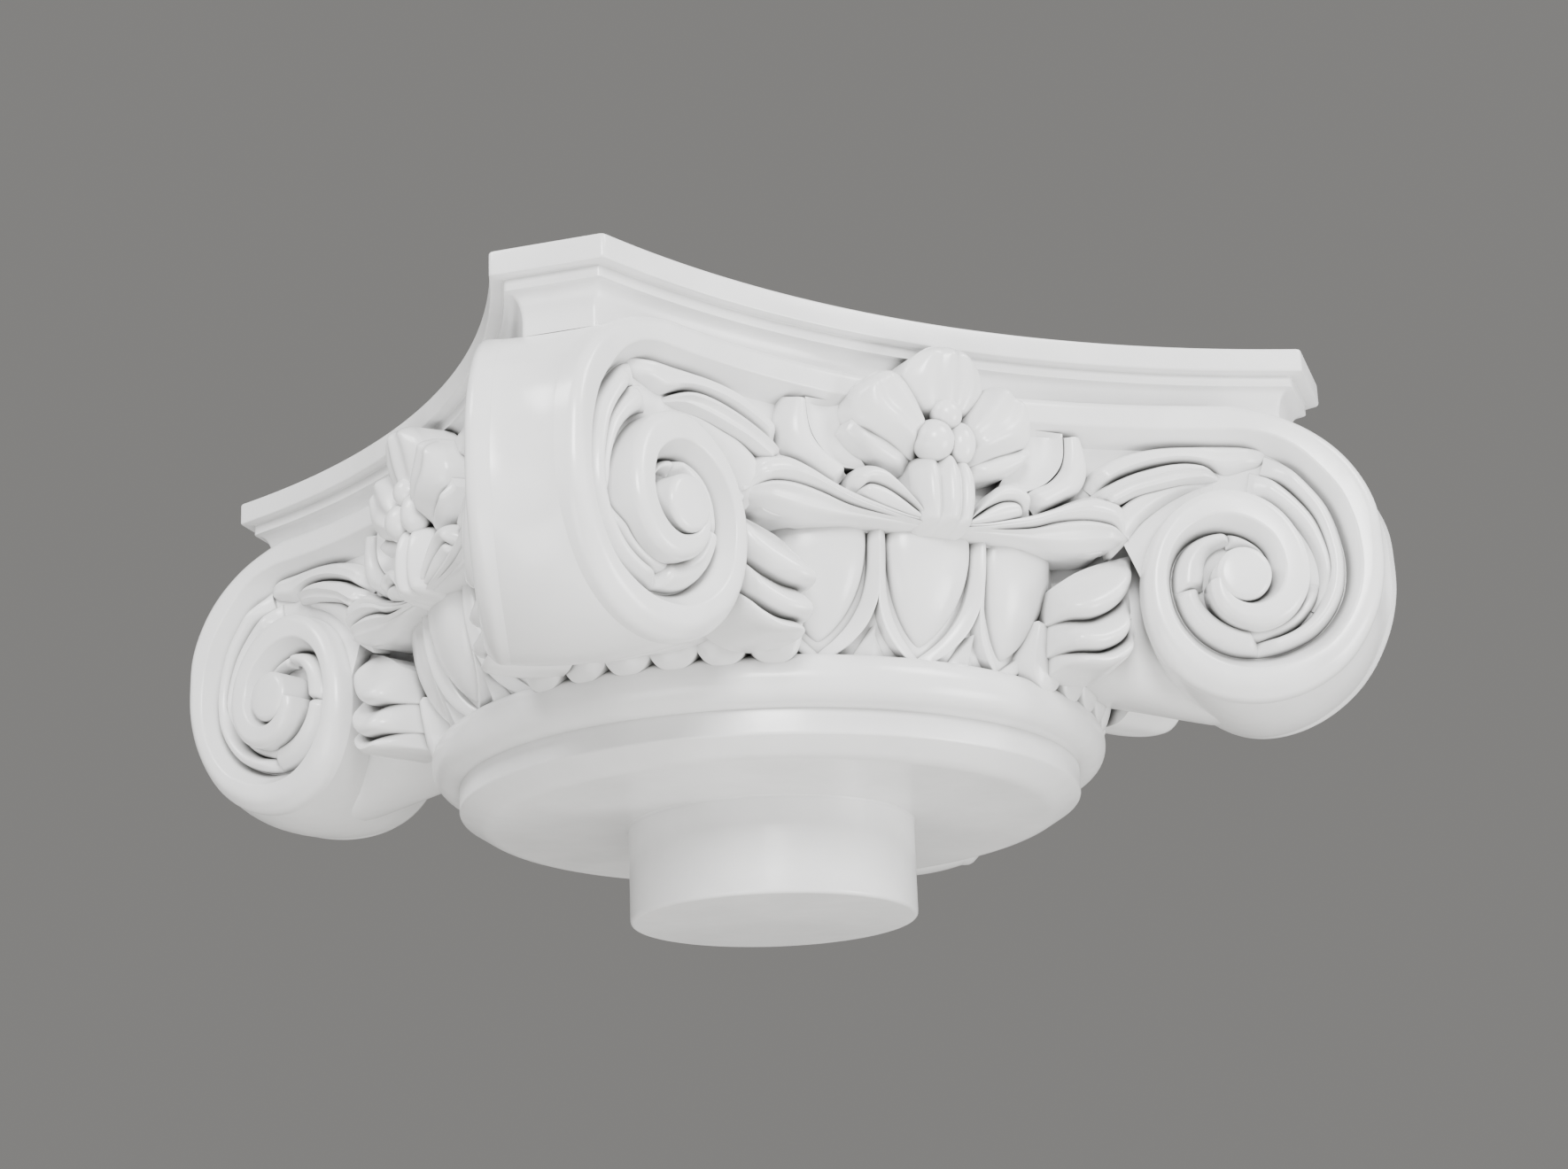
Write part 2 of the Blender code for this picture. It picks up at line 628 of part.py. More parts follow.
def main():
    """Build the capital."""
    clear_scene()
    body = new_collection("capital_body")
    ornament = new_collection("capital_ornament")
    guides = new_collection("capital_cutters")
    core = turned("capital", core_profile(), CORE_SIDES, body)
    core.data.materials.append(white_foam())
    abacus = slab("abacus", ABACUS_DEPTH, ABACUS_CURVE, ABACUS_DIAGONAL, abacus_levels(), guides)
    levels = [(0.0, Z_FRIEZE - FRIEZE_LAP), (0.0, Z_RIBBON + FRIEZE_LAP / 2.0)]
    frieze = slab("frieze", FACE_DEPTH - FRIEZE_BED_DEPTH, FACE_CURVE + FRIEZE_BED_DEPTH,
                  FRIEZE_DIAGONAL, levels, guides)
    corner_scroll(ornament)
    corner_web(ornament)
    volute_band(ornament)
    volute_eye(ornament)
    volute_leaves(ornament)
    for index in range(2):
        egg(index, ornament)
        egg_frame(index, ornament)
    palmette(ornament)
    frieze_leaves(ornament)
    flower(ornament)
    for item in [*ornament.objects, abacus, frieze]:
        item.hide_render = True
        item.display_type = "WIRE"
    carve(core, abacus, frieze, ornament, guides)


main()
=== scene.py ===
"""Studio model of a white cast column capital with four diagonal volutes.

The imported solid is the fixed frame. Every visible piece is a surface worked out
with numpy in millimetres. The turned core and the abacus are made whole; the rest is
made for one face, half a face or one corner and copied round the axis. The pieces
stand where the solid stands: +Z is up and the origin is the centre of the locating
boss's underside.
"""

import logging
import math
from dataclasses import dataclass, field
from enum import Enum
from typing import Any, Iterable, Sequence

import bpy
import numpy as np
from mathutils import Matrix

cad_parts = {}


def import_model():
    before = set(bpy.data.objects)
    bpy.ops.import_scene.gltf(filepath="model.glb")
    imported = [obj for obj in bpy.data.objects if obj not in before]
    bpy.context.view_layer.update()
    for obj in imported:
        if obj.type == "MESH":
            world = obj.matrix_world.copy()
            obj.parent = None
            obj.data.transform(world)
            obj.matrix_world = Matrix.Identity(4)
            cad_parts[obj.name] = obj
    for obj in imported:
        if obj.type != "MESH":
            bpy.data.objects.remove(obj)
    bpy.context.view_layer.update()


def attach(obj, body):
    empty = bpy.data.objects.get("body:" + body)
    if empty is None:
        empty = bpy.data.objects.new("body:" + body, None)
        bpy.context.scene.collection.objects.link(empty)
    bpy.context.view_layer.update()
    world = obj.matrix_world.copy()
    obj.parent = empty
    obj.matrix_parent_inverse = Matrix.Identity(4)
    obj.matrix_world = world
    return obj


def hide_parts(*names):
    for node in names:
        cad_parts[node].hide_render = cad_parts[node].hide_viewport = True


MM = 0.001
CAD_NODE = "capital"
CAD_BODY = "root"

# Angles in degrees past which an edge stays crisp: on turned and run mouldings, on
# the ruled scrolls and on carving.
MOULDED_CRISP = 28.0
SCROLL_CRISP = 42.0
CARVED_CRISP = 50.0

# Cosine and sine of each quarter turn.
QUARTER_TURNS = ((1, 0), (0, 1), (-1, 0), (0, -1))

Array = np.ndarray
Edge = Sequence[tuple[float, float, float]]
Pairs = tuple[tuple[float, float], ...]

log = logging.getLogger("capital")


def hex_linear(code: str) -> tuple[float, float, float, float]:
    """Turn an sRGB hex colour into linear RGBA.

    Args:
        code: six hex digits, such as "E8E7E4".

    Returns:
        Linear red, green and blue, with alpha 1.
    """
    parts = np.array([int(code[k:k + 2], 16) for k in (0, 2, 4)]) / 255.0
    linear = np.where(parts <= 0.04045, parts / 12.92, ((parts + 0.055) / 1.055) ** 2.4)
    return (float(linear[0]), float(linear[1]), float(linear[2]), 1.0)


def add_node(tree: bpy.types.NodeTree, kind: str, settings: dict[str, Any] | None = None,
             links: dict[str, bpy.types.NodeSocket] | None = None) -> bpy.types.Node:
    """Add a shader node with its settings and links.

    Args:
        tree: the node tree to add to.
        kind: the node's type name.
        settings: values by input name, or by property name where no input has it.
        links: sockets to connect, by input name.

    Returns:
        The new node.
    """
    node = tree.nodes.new(kind)
    for name, value in (settings or {}).items():
        if name in node.inputs:
            node.inputs[name].default_value = value
        else:
            setattr(node, name, value)
    for name, socket in (links or {}).items():
        tree.links.new(socket, node.inputs[name])
    return node


def add_ramp(tree: bpy.types.NodeTree, share: bpy.types.NodeSocket, span: tuple[float, float],
             colours: tuple[str, str]) -> bpy.types.NodeSocket:
    """Blend two colours over a span of a value with a colour ramp.

    Args:
        tree: the node tree to add to.
        share: socket of the value that picks the colour.
        span: values at which the first colour ends and the second begins.
        colours: the two colours as hex digits.

    Returns:
        The socket of the blended colour.
    """
    ramp = add_node(tree, "ShaderNodeValToRGB", {}, {"Fac": share})
    for stop, position, colour in zip(ramp.color_ramp.elements, span, colours):
        stop.position = position
        stop.color = hex_linear(colour)
    return ramp.outputs["Color"]


def smooth_curve(points: Sequence[Sequence[float]], count: int) -> Array:
    """Sample a smooth curve through points, evenly along its length.

    Each span is the cubic through its two points whose end slopes are half the
    chord between the neighbours. The dense samples are then spaced evenly.

    Args:
        points: points the curve passes through.
        count: number of samples.

    Returns:
        Array of count points.
    """
    data = np.asarray(points, float)
    padded = np.vstack([2 * data[0] - data[1], data, 2 * data[-1] - data[-2]])
    place = np.linspace(0.0, len(data) - 1.0, 24 * len(data))
    i = np.minimum(place.astype(int), len(data) - 2)
    t = (place - i)[:, None]
    a, b, c, e = padded[i], padded[i + 1], padded[i + 2], padded[i + 3]
    dense = 0.5 * (2 * b + (c - a) * t + (2 * a - 5 * b + 4 * c - e) * t ** 2
                   + (3 * b - a - 3 * c + e) * t ** 3)
    length = np.concatenate([[0.0], np.cumsum(np.linalg.norm(np.diff(dense, axis=0), axis=1))])
    even = np.linspace(0.0, length[-1], count)
    return np.stack([np.interp(even, length, dense[:, k]) for k in range(dense.shape[1])], axis=1)


def rounded_path(points: Array, trims: Array, steps: int = 4) -> Array:
    """Round the inner corners of an open path.

    Each corner is replaced by a parabolic arc that leaves the legs at the trim
    distance from the corner: (1-t)^2 A + 2t(1-t) P + t^2 B.

    Args:
        points: corners, (..., n, k), rounded together over the leading axes.
        trims: trim distance at each inner corner, (..., n - 2).
        steps: spans of each arc.

    Returns:
        Array (..., (n - 2) * (steps + 1) + 2, k).
    """
    inner = points[..., 1:-1, :]
    back = points[..., :-2, :] - inner
    ahead = points[..., 2:, :] - inner
    back_length = np.linalg.norm(back, axis=-1)
    ahead_length = np.linalg.norm(ahead, axis=-1)
    trim = np.minimum(np.broadcast_to(trims, back_length.shape),
                      0.47 * np.minimum(back_length, ahead_length))
    first = inner + back * (trim / np.maximum(back_length, 1e-9))[..., None]
    last = inner + ahead * (trim / np.maximum(ahead_length, 1e-9))[..., None]
    t = np.linspace(0.0, 1.0, steps + 1)[:, None]
    arcs = ((1 - t) ** 2 * first[..., None, :] + 2 * t * (1 - t) * inner[..., None, :]
            + t ** 2 * last[..., None, :])
    flat = arcs.reshape(*points.shape[:-2], -1, points.shape[-1])
    return np.concatenate([points[..., :1, :], flat, points[..., -1:, :]], axis=-2)


def opposite(edge: Edge, middle: float = 0.0) -> Edge:
    """Mirror an edge in the upright line at a place: s becomes 2 m - s."""
    return tuple((2 * middle - s, z, d) for s, z, d in edge)


def cosine_shares(count: int) -> Array:
    """Shares from 0 to 1, closer together near both ends: (1 - cos a) / 2."""
    return 0.5 - 0.5 * np.cos(np.linspace(0.0, math.pi, count))


def ease(t: Array) -> Array:
    """Smooth step from 0 to 1: 3 t^2 - 2 t^3, held outside that span."""
    held = np.clip(t, 0.0, 1.0)
    return held * held * (3.0 - 2.0 * held)


class Shell:
    """Closed surfaces gathered into one mesh, each turned to face outwards."""

    def __init__(self) -> None:
        """Start with no surface."""
        self.points: list[Array] = []
        self.quads: list[Array] = []
        self.count = 0

    def add(self, points: Array, quads: Array) -> None:
        """Add one closed surface.

        The signed volume, the sum of p0.(p1 x p2) + p0.(p2 x p3) over the faces,
        says whether the faces point outwards; if it is negative they are turned.

        Args:
            points: (n, 3) places in millimetres.
            quads: (m, 4) corner numbers; a triangle repeats its last corner.
        """
        corners = points[quads]
        volume = (np.einsum("ij,ij->", corners[:, 0], np.cross(corners[:, 1], corners[:, 2]))
                  + np.einsum("ij,ij->", corners[:, 0], np.cross(corners[:, 2], corners[:, 3])))
        if volume < 0.0:
            quads = quads[:, [1, 0, 3, 2]]
        self.points.append(points)
        self.quads.append(quads + self.count)
        self.count += len(points)

    def add_tube(self, rings: Array) -> None:
        """Add a tube of closed rings whose ends close on their rings' middles.

        Args:
            rings: (n, m, 3) ring points; ring k joins ring k + 1.
        """
        n, m = rings.shape[:2]
        hubs = np.stack([rings[0].mean(axis=0), rings[-1].mean(axis=0)])
        points = np.vstack([rings.reshape(-1, 3), hubs])
        k, j = np.meshgrid(np.arange(n - 1), np.arange(m), indexing="ij")
        k, j = k.ravel(), j.ravel()
        nxt = (j + 1) % m
        side = np.stack([k * m + j, k * m + nxt, (k + 1) * m + nxt, (k + 1) * m + j], axis=1)
        around = np.arange(m)
        after = (around + 1) % m
        low = np.full(m, n * m)
        start = np.stack([after, around, low, low], axis=1)
        top = (n - 1) * m
        end = np.stack([top + around, top + after, low + 1, low + 1], axis=1)
        self.add(points, np.vstack([side, start, end]))

    def add_slab(self, top: Array, bottom: Array) -> None:
        """Add a sheet of two grids joined along their four borders.

        Args:
            top: (n, m, 3) upper surface.
            bottom: (n, m, 3) lower surface, point under point.
        """
        n, m = top.shape[:2]
        points = np.vstack([top.reshape(-1, 3), bottom.reshape(-1, 3)])
        index = np.arange(n * m).reshape(n, m)
        a, b, c, d = index[:-1, :-1], index[:-1, 1:], index[1:, 1:], index[1:, :-1]
        over = np.stack([a, b, c, d], axis=-1).reshape(-1, 4)
        under = over[:, ::-1] + n * m
        rim = np.concatenate([index[0, :], index[1:, -1], index[-1, -2::-1], index[-2:0:-1, 0]])
        after = np.roll(rim, -1)
        wall = np.stack([after, rim, rim + n * m, after + n * m], axis=1)
        self.add(points, np.vstack([over, under, wall]))

    def mirrored(self) -> "Shell":
        """Copy the shell with its mirror image across x = 0 beside it.

        Returns:
            A new shell with twice as many surfaces.
        """
        both = Shell()
        for points, quads, start in self.parts():
            both.add(points, quads - start)
            both.add(points * np.array([-1.0, 1.0, 1.0]), quads - start)
        return both

    def quartered(self) -> "Shell":
        """Repeat the shell at each quarter turn about the axis.

        Returns:
            A new shell with four times as many surfaces.
        """
        full = Shell()
        for points, quads, start in self.parts():
            for c, s in QUARTER_TURNS:
                turn = np.array([[c, s, 0], [-s, c, 0], [0, 0, 1]], float)
                full.add(points @ turn, quads - start)
        return full

    def parts(self) -> Iterable[tuple[Array, Array, int]]:
        """Give the surfaces one after another.

        Returns:
            Points, faces and the number of the first point of each surface.
        """
        start = 0
        for points, quads in zip(self.points, self.quads):
            yield points, quads, start
            start += len(points)

    def to_object(self, name: str, material: bpy.types.Material,
                  sharp: float = CARVED_CRISP) -> bpy.types.Object:
        """Make the mesh object, smooth but for edges sharper than an angle.

        Args:
            name: the piece's name.
            material: its finish.
            sharp: angle in degrees past which an edge stays crisp.

        Returns:
            The new object, linked to the scene.
        """
        points = np.vstack(self.points) * MM
        quads = np.vstack(self.quads)
        is_quad = quads[:, 2] != quads[:, 3]
        totals = np.where(is_quad, 4, 3)
        keep = np.ones_like(quads, bool)
        keep[~is_quad, 3] = False
        mesh = bpy.data.meshes.new(name)
        mesh.vertices.add(len(points))
        mesh.vertices.foreach_set("co", points.ravel().astype(np.float32))
        mesh.loops.add(int(totals.sum()))
        mesh.loops.foreach_set("vertex_index", quads[keep].astype(np.int32))
        mesh.polygons.add(len(quads))
        starts = np.concatenate([[0], np.cumsum(totals)[:-1]])
        mesh.polygons.foreach_set("loop_start", starts.astype(np.int32))
        mesh.polygons.foreach_set("use_smooth", np.ones(len(quads), bool))
        mesh.update(calc_edges=True)
        mesh.validate()
        mesh.set_sharp_from_angle(angle=math.radians(sharp))
        mesh.materials.append(material)
        piece = bpy.data.objects.new(name, mesh)
        bpy.context.scene.collection.objects.link(piece)
        return piece


@dataclass(frozen=True)
class FaceGround:
    """Concave carved face: an arc whose middle lies at a depth from the axis."""

    depth: float = 145.5
    curve: float = 300.0

    def lay(self, drawing: Array) -> Array:
        """Lay drawing points on the face.

        x = (R - d) sin(s / R), y = (R - d) cos(s / R) - depth - R, z = z, for arc
        length s, height z and relief d, with R the face's radius of curvature.

        Args:
            drawing: (..., 3) values of s, z and d.

        Returns:
            (..., 3) places.
        """
        s, z, d = drawing[..., 0], drawing[..., 1], drawing[..., 2]
        turn = s / self.curve
        reach = self.curve - d
        return np.stack([reach * np.sin(turn), reach * np.cos(turn) - self.depth - self.curve, z],
                        axis=-1)


@dataclass(frozen=True)
class BowlGround:
    """Ground of the echinus under the eggs, flaring upwards."""

    low: float = 74.6
    height: float = 43.4
    radius: float = 123.5
    flare: float = 12.5

    def reach(self, z: Array) -> Array:
        """Radius at a height: the foot's radius plus a quarter sine of flare."""
        rise = np.clip((z - self.low) / self.height, 0.0, 1.0)
        return self.radius + self.flare * np.sin(rise * math.pi / 2.0)

    def lay(self, drawing: Array) -> Array:
        """Lay drawing points round the bowl: r = reach at z, plus the relief.

        Args:
            drawing: (..., 3) values of angle in degrees, height and relief.

        Returns:
            (..., 3) places.
        """
        turn = np.radians(drawing[..., 0])
        z = drawing[..., 1]
        reach = self.reach(z) + drawing[..., 2]
        return np.stack([reach * np.sin(turn), -reach * np.cos(turn), z], axis=-1)


Ground = FaceGround | BowlGround


class Section(Enum):
    """How a leaf stands up between its two edges."""

    ROUND = "round"
    CUP = "cup"
    SCOOP = "scoop"
    PLEATED = "pleated"

    def height(self, v: Array) -> Array:
        """Height of the section across the leaf.

        ROUND is (1 - u^2)^0.55 for u from -1 to 1, nearly an ellipse, and CUP a
        hollow. SCOOP is a ROUND that peaks near the second edge and drops steeply
        past it. PLEATED is a ROUND that two creases, where |sin 3 pi v| is nought,
        part into three ribs.

        Args:
            v: share of the way from the first edge to the second.

        Returns:
            Heights, 1 at the crest.
        """
        if self is Section.CUP:
            return -np.sin(math.pi * v)
        u = 2.0 * (v ** 2.2 if self is Section.SCOOP else v) - 1.0
        full = np.maximum(1.0 - u * u, 0.0) ** 0.55
        if self is Section.PLEATED:
            return full * (0.6 + 0.4 * np.abs(np.sin(3.0 * math.pi * v)) ** 0.7)
        return full


@dataclass(frozen=True)
class Leaf:
    """A carved leaf between two edge curves given as (s, z, d).

    The first value runs along the face in millimetres or round the bowl in
    degrees, z is the height and d the relief. The ends are the shares of the
    length over which the leaf rises at its root and fades at its tip.
    """

    first: Edge
    second: Edge
    crest: float
    section: Section = Section.ROUND
    sink: float = 8.0
    ends: tuple[float, float] = (0.12, 0.2)
    vein: float = 0.0
    veins: float = 3.0
    settle: float = 0.0
    along: int = 44
    across: int = 15

    def carve(self, shell: Shell, ground: Ground) -> None:
        """Add the leaf to a shell.

        A point is (1 - v) A(t) + v B(t), raised by the crest height times the
        section's height at v, times an ease that fades both ends. Veins add a
        low ripple cos(2 pi n v), and the whole may be settled deeper so that the
        creases between leaves are deep. The underside is the grid sunk further in.

        Args:
            shell: where the leaf goes.
            ground: the surface that it is drawn on.
        """
        a = smooth_curve(self.first, self.along)[:, None, :]
        b = smooth_curve(self.second, self.along)[:, None, :]
        t = np.linspace(0.0, 1.0, self.along)[:, None]
        v = cosine_shares(self.across)[None, :]
        start = ease(t / max(self.ends[0], 1e-6))
        end = ease((1.0 - t) / max(self.ends[1], 1e-6))
        lift = self.crest * self.section.height(v) - self.vein * np.cos(
            2.0 * math.pi * self.veins * v) * np.sin(math.pi * v)
        grid = (1.0 - v[..., None]) * a + v[..., None] * b
        under = grid.copy()
        grid[..., 2] += lift * start * end - self.settle
        lowest = grid[..., 2].min(axis=1, keepdims=True)
        under[..., 2] = np.minimum(lowest, under[..., 2]) - self.sink
        shell.add_slab(ground.lay(grid), ground.lay(under))


@dataclass(frozen=True)
class CastFoam:
    """Rigid polyurethane casting with the maker's white satin primer.

    The primer is sprayed, so the eye sees an even, slightly glossy white with a
    fine orange peel. The cast foam under it waves a little. The narrow creases
    get painted shade: an ambient-occlusion mask greys the colour there.
    """

    tone: str = "E6E6E6"
    shade: str = "DDDDDD"
    # Painted shade: the grey that the ambient-occlusion mask lays into narrow creases, and the white it
    # leaves elsewhere.
    crease_shade: str = "7A7A78"
    unshaded: str = "FFFFFF"
    shade_reach_mm: float = 4.5
    shade_span: tuple[float, float] = (0.1, 0.66)
    roughness: float = 0.24
    duller: float = 0.05
    glossier: float = 0.04
    ior: float = 1.5
    peel_mm: float = 0.9
    peel_depth_mm: float = 0.03
    wave_mm: float = 9.0
    wave_depth_mm: float = 0.25
    stain_mm: float = 45.0
    stain_span: tuple[float, float] = (0.35, 0.65)

    def make(self) -> bpy.types.Material:
        """Build the node material.

        Returns:
            The primer's material.
        """
        finish = bpy.data.materials.new("satin_white_primer_on_cast_foam")
        finish.use_nodes = True
        tree = finish.node_tree
        shader = tree.nodes["Principled BSDF"]
        place = add_node(tree, "ShaderNodeTexCoord").outputs["Object"]
        stain = add_node(tree, "ShaderNodeTexNoise",
                         {"Scale": 1.0 / (self.stain_mm * MM), "Detail": 4.0, "Roughness": 0.55},
                         {"Vector": place})
        ramp = add_ramp(tree, stain.outputs["Fac"], self.stain_span, (self.shade, self.tone))
        # Painted shade: ambient occlusion greys the base colour in the narrow creases.
        nook = add_node(tree, "ShaderNodeAmbientOcclusion",
                        {"samples": 8, "Distance": self.shade_reach_mm * MM})
        depth = add_ramp(tree, nook.outputs["AO"], self.shade_span, (self.crease_shade, self.unshaded))
        stained_and_shaded = add_node(tree, "ShaderNodeVectorMath", {"operation": "MULTIPLY"})
        tree.links.new(ramp, stained_and_shaded.inputs[0])
        tree.links.new(depth, stained_and_shaded.inputs[1])
        tree.links.new(stained_and_shaded.outputs["Vector"], shader.inputs["Base Color"])
        gloss = add_node(tree, "ShaderNodeMapRange",
                         {"To Min": self.roughness - self.glossier,
                          "To Max": self.roughness + self.duller},
                         {"Value": stain.outputs["Fac"]})
        tree.links.new(gloss.outputs["Result"], shader.inputs["Roughness"])
        wave = add_node(tree, "ShaderNodeTexNoise",
                        {"Scale": 1.0 / (self.wave_mm * MM), "Detail": 2.0}, {"Vector": place})
        peel = add_node(tree, "ShaderNodeTexNoise",
                        {"Scale": 1.0 / (self.peel_mm * MM), "Detail": 1.0}, {"Vector": place})
        slow = add_node(tree, "ShaderNodeBump",
                        {"Strength": 0.5, "Distance": self.wave_depth_mm * MM},
                        {"Height": wave.outputs["Fac"]})
        fine = add_node(tree, "ShaderNodeBump",
                        {"Strength": 0.35, "Distance": self.peel_depth_mm * MM},
                        {"Height": peel.outputs["Fac"], "Normal": slow.outputs["Normal"]})
        tree.links.new(fine.outputs["Normal"], shader.inputs["Normal"])
        shader.inputs["IOR"].default_value = self.ior
        return finish


@dataclass(frozen=True)
class PaperSweep:
    """Uncoated background paper: matte, without a highlight, faintly cloudy."""

    tone: str = "DCDBD8"
    pale: str = "E6E5E2"
    clouds_per_metre: float = 6.0
    roughness: float = 0.9

    def make(self) -> bpy.types.Material:
        """Build the node material.

        Returns:
            The paper's material.
        """
        paper = bpy.data.materials.new("matte_paper_sweep")
        paper.use_nodes = True
        tree = paper.node_tree
        place = add_node(tree, "ShaderNodeTexCoord").outputs["Object"]
        fibre = add_node(tree, "ShaderNodeTexNoise",
                         {"Scale": self.clouds_per_metre, "Detail": 3.0}, {"Vector": place})
        shade = add_ramp(tree, fibre.outputs["Fac"], (0.0, 1.0), (self.tone, self.pale))
        shader = tree.nodes["Principled BSDF"]
        tree.links.new(shade, shader.inputs["Base Color"])
        shader.inputs["Roughness"].default_value = self.roughness
        return paper


def hand_over(piece: bpy.types.Object) -> None:
    """Let a finished piece ride on the body and stand for the solid.

    Args:
        piece: the piece's object.
    """
    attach(piece, CAD_BODY)
    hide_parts(CAD_NODE)
    log.info("%s: %d faces", piece.name, len(piece.data.polygons))


@dataclass
class TurnedCore:
    """Locating boss, neck, astragal and the plain bowl under the eggs."""

    finish: bpy.types.Material
    bowl: BowlGround
    boss_radius: float = 57.5
    boss_height: float = 38.6
    neck_radius: float = 125.0
    neck_foot: float = 114.4
    neck_edge: float = 45.4
    astragal_low: float = 55.0
    astragal_bulge: float = 11.0
    top: float = 128.0
    rounding: tuple[float, ...] = (1.8, 1.0, 3.6, 0.8)
    seam: float = 0.6
    sides: int = 288

    def profile(self) -> Array:
        """Outline of the turning from the boss's underside to inside the frieze.

        Straight runs are rounded at their corners; the astragal is a half sine
        of its height, and the bowl follows its ground.

        Returns:
            (n, 2) radii and heights.
        """
        corners = np.array([(0.0, 0.0), (self.boss_radius, 0.0), (self.boss_radius, self.boss_height),
                            (self.neck_foot, self.boss_height), (self.neck_radius, self.neck_edge),
                            (self.neck_radius, self.astragal_low)])
        low = rounded_path(corners, np.array(self.rounding), 6)
        turn = np.linspace(0.0, math.pi, 26)
        height = self.bowl.low - self.astragal_low
        ring = np.stack([self.neck_radius + self.astragal_bulge * np.sin(turn) ** 0.8,
                         self.astragal_low + height * (0.5 - 0.5 * np.cos(turn))], axis=1)
        z = np.linspace(self.bowl.low + self.seam, self.top, 14)
        ground = np.stack([self.bowl.reach(z), z], axis=1)
        return np.vstack([low[1:-1], ring, ground])

    def build(self) -> bpy.types.Object:
        """Turn the outline about the axis: x = r sin a, y = -r cos a.

        Returns:
            The piece.
        """
        outline = self.profile()
        turn = np.linspace(0.0, 2.0 * math.pi, self.sides, endpoint=False)
        r, z = outline[:, :1], outline[:, 1:]
        rings = np.stack([r * np.sin(turn), -r * np.cos(turn), z + 0.0 * turn], axis=-1)
        shell = Shell()
        shell.add_tube(rings)
        return shell.to_object("turned_core", self.finish, MOULDED_CRISP)


@dataclass
class Abacus:
    """Moulded slab with four concave sides and four cut corners."""

    finish: bpy.types.Material
    depth: float = 147.3
    curve: float = 366.0
    diagonal: float = 230.8
    top: float = 201.4
    fillet_low: float = 187.5
    fascia_low: float = 192.0
    foot: float = 172.0
    cavetto_low: float = 177.5
    fillet_inset: float = 5.0
    cavetto_inset: float = 11.5
    corner_round: float = 1.6
    cavetto_step: float = 0.6
    arrises: tuple[float, ...] = (0.3, 0.5, 1.0, 1.2)
    flat_inset: float = 12.0
    side_steps: int = 64

    def levels(self) -> Array:
        """Inset and height up the edge: cavetto, fillet, fascia and flat top.

        The cavetto is a quarter ellipse, hollow side out.

        Returns:
            (n, 2) insets and heights.
        """
        turn = np.linspace(0.0, math.pi / 2.0, 9)
        span = self.cavetto_inset - self.fillet_inset - self.cavetto_step
        hollow = np.stack([self.cavetto_inset - span * (1.0 - np.cos(turn)),
                           self.cavetto_low + (self.fillet_low - self.cavetto_low) * np.sin(turn)],
                          axis=1)
        corners = np.array([hollow[-1], (self.fillet_inset, self.fillet_low),
                            (self.fillet_inset, self.fascia_low), (0.0, self.fascia_low),
                            (0.0, self.top), (self.flat_inset, self.top)])
        edge = rounded_path(corners, np.array(self.arrises), 4)
        foot = np.array([(self.cavetto_inset, self.foot)])
        return np.vstack([foot, hollow[:-1], edge])

    def plan(self, inset: float) -> Array:
        """Outline in plan: concave arcs about outside centres, joined by straight cuts.

        Each arc has radius R + inset about (0, -depth - R); it ends on the cut
        line x - y = sqrt(2) (diagonal - inset), and the corners are rounded.

        Args:
            inset: how far inside the slab's full outline it runs.

        Returns:
            (n, 2) closed outline.
        """
        centre = self.depth + self.curve
        reach = self.curve + inset
        total = math.sqrt(2.0) * (self.diagonal - inset)
        x = (total - centre) / 2.0 + math.sqrt(reach ** 2 / 2.0 - ((centre - total) / 2.0) ** 2)
        half_turn = math.asin(x / reach)
        trim = self.corner_round / reach
        turn = np.linspace(-half_turn + trim, half_turn - trim, self.side_steps)
        side = np.stack([reach * np.sin(turn), reach * np.cos(turn) - centre], axis=1)
        corner = np.array([reach * math.sin(half_turn), reach * math.cos(half_turn) - centre])
        cut = corner + self.corner_round * np.array([1.0, 1.0]) * math.sqrt(0.5)
        t = np.linspace(0.0, 1.0, 6)[1:, None]
        bend = (1 - t) ** 2 * side[-1] + 2 * t * (1 - t) * corner + t ** 2 * cut
        lead = bend[::-1] * np.array([-1.0, 1.0])
        quarter = np.vstack([lead, side, bend])
        return np.vstack([quarter @ np.array([[c, s], [-s, c]]) for c, s in QUARTER_TURNS])

    def build(self) -> bpy.types.Object:
        """Stack the plans of all levels.

        Returns:
            The piece.
        """
        rings = []
        for inset, z in self.levels():
            plan = self.plan(float(inset))
            rings.append(np.column_stack([plan, np.full(len(plan), z)]))
        shell = Shell()
        shell.add_tube(np.array(rings))
        return shell.to_object("abacus", self.finish, MOULDED_CRISP)


@dataclass
class FriezeBed:
    """Sunk ground behind the leaves, a concave-sided block."""

    finish: bpy.types.Material
    face: FaceGround
    sunk: float = 9.5
    low: float = 118.3
    high: float = 180.0
    back: float = 40.0
    reach: float = 118.0
    notch: float = 10.0
    notch_from: float = 68.0
    notch_slope: float = 12.0

    def build(self) -> bpy.types.Object:
        """Lay a sheet at the bed's depth on a face and repeat it on the four faces.

        Its lower edge rises past the outer eggs, which leaves a dark hollow there.

        Returns:
            The piece.
        """
        s = np.linspace(-self.reach, self.reach, 65)
        z = np.linspace(self.low, self.high, 9)
        lift = self.notch * ease((np.abs(s) - self.notch_from) / self.notch_slope)
        grid = np.stack(np.broadcast_arrays(s[:, None], z[None, :], -self.sunk), axis=-1)
        grid[..., 1] += lift[:, None] * (self.high - z[None, :]) / (self.high - self.low)
        back = grid.copy()
        back[..., 2] = -self.back
        shell = Shell()
        shell.add_slab(self.face.lay(grid), self.face.lay(back))
        return shell.quartered().to_object("frieze_bed", self.finish)


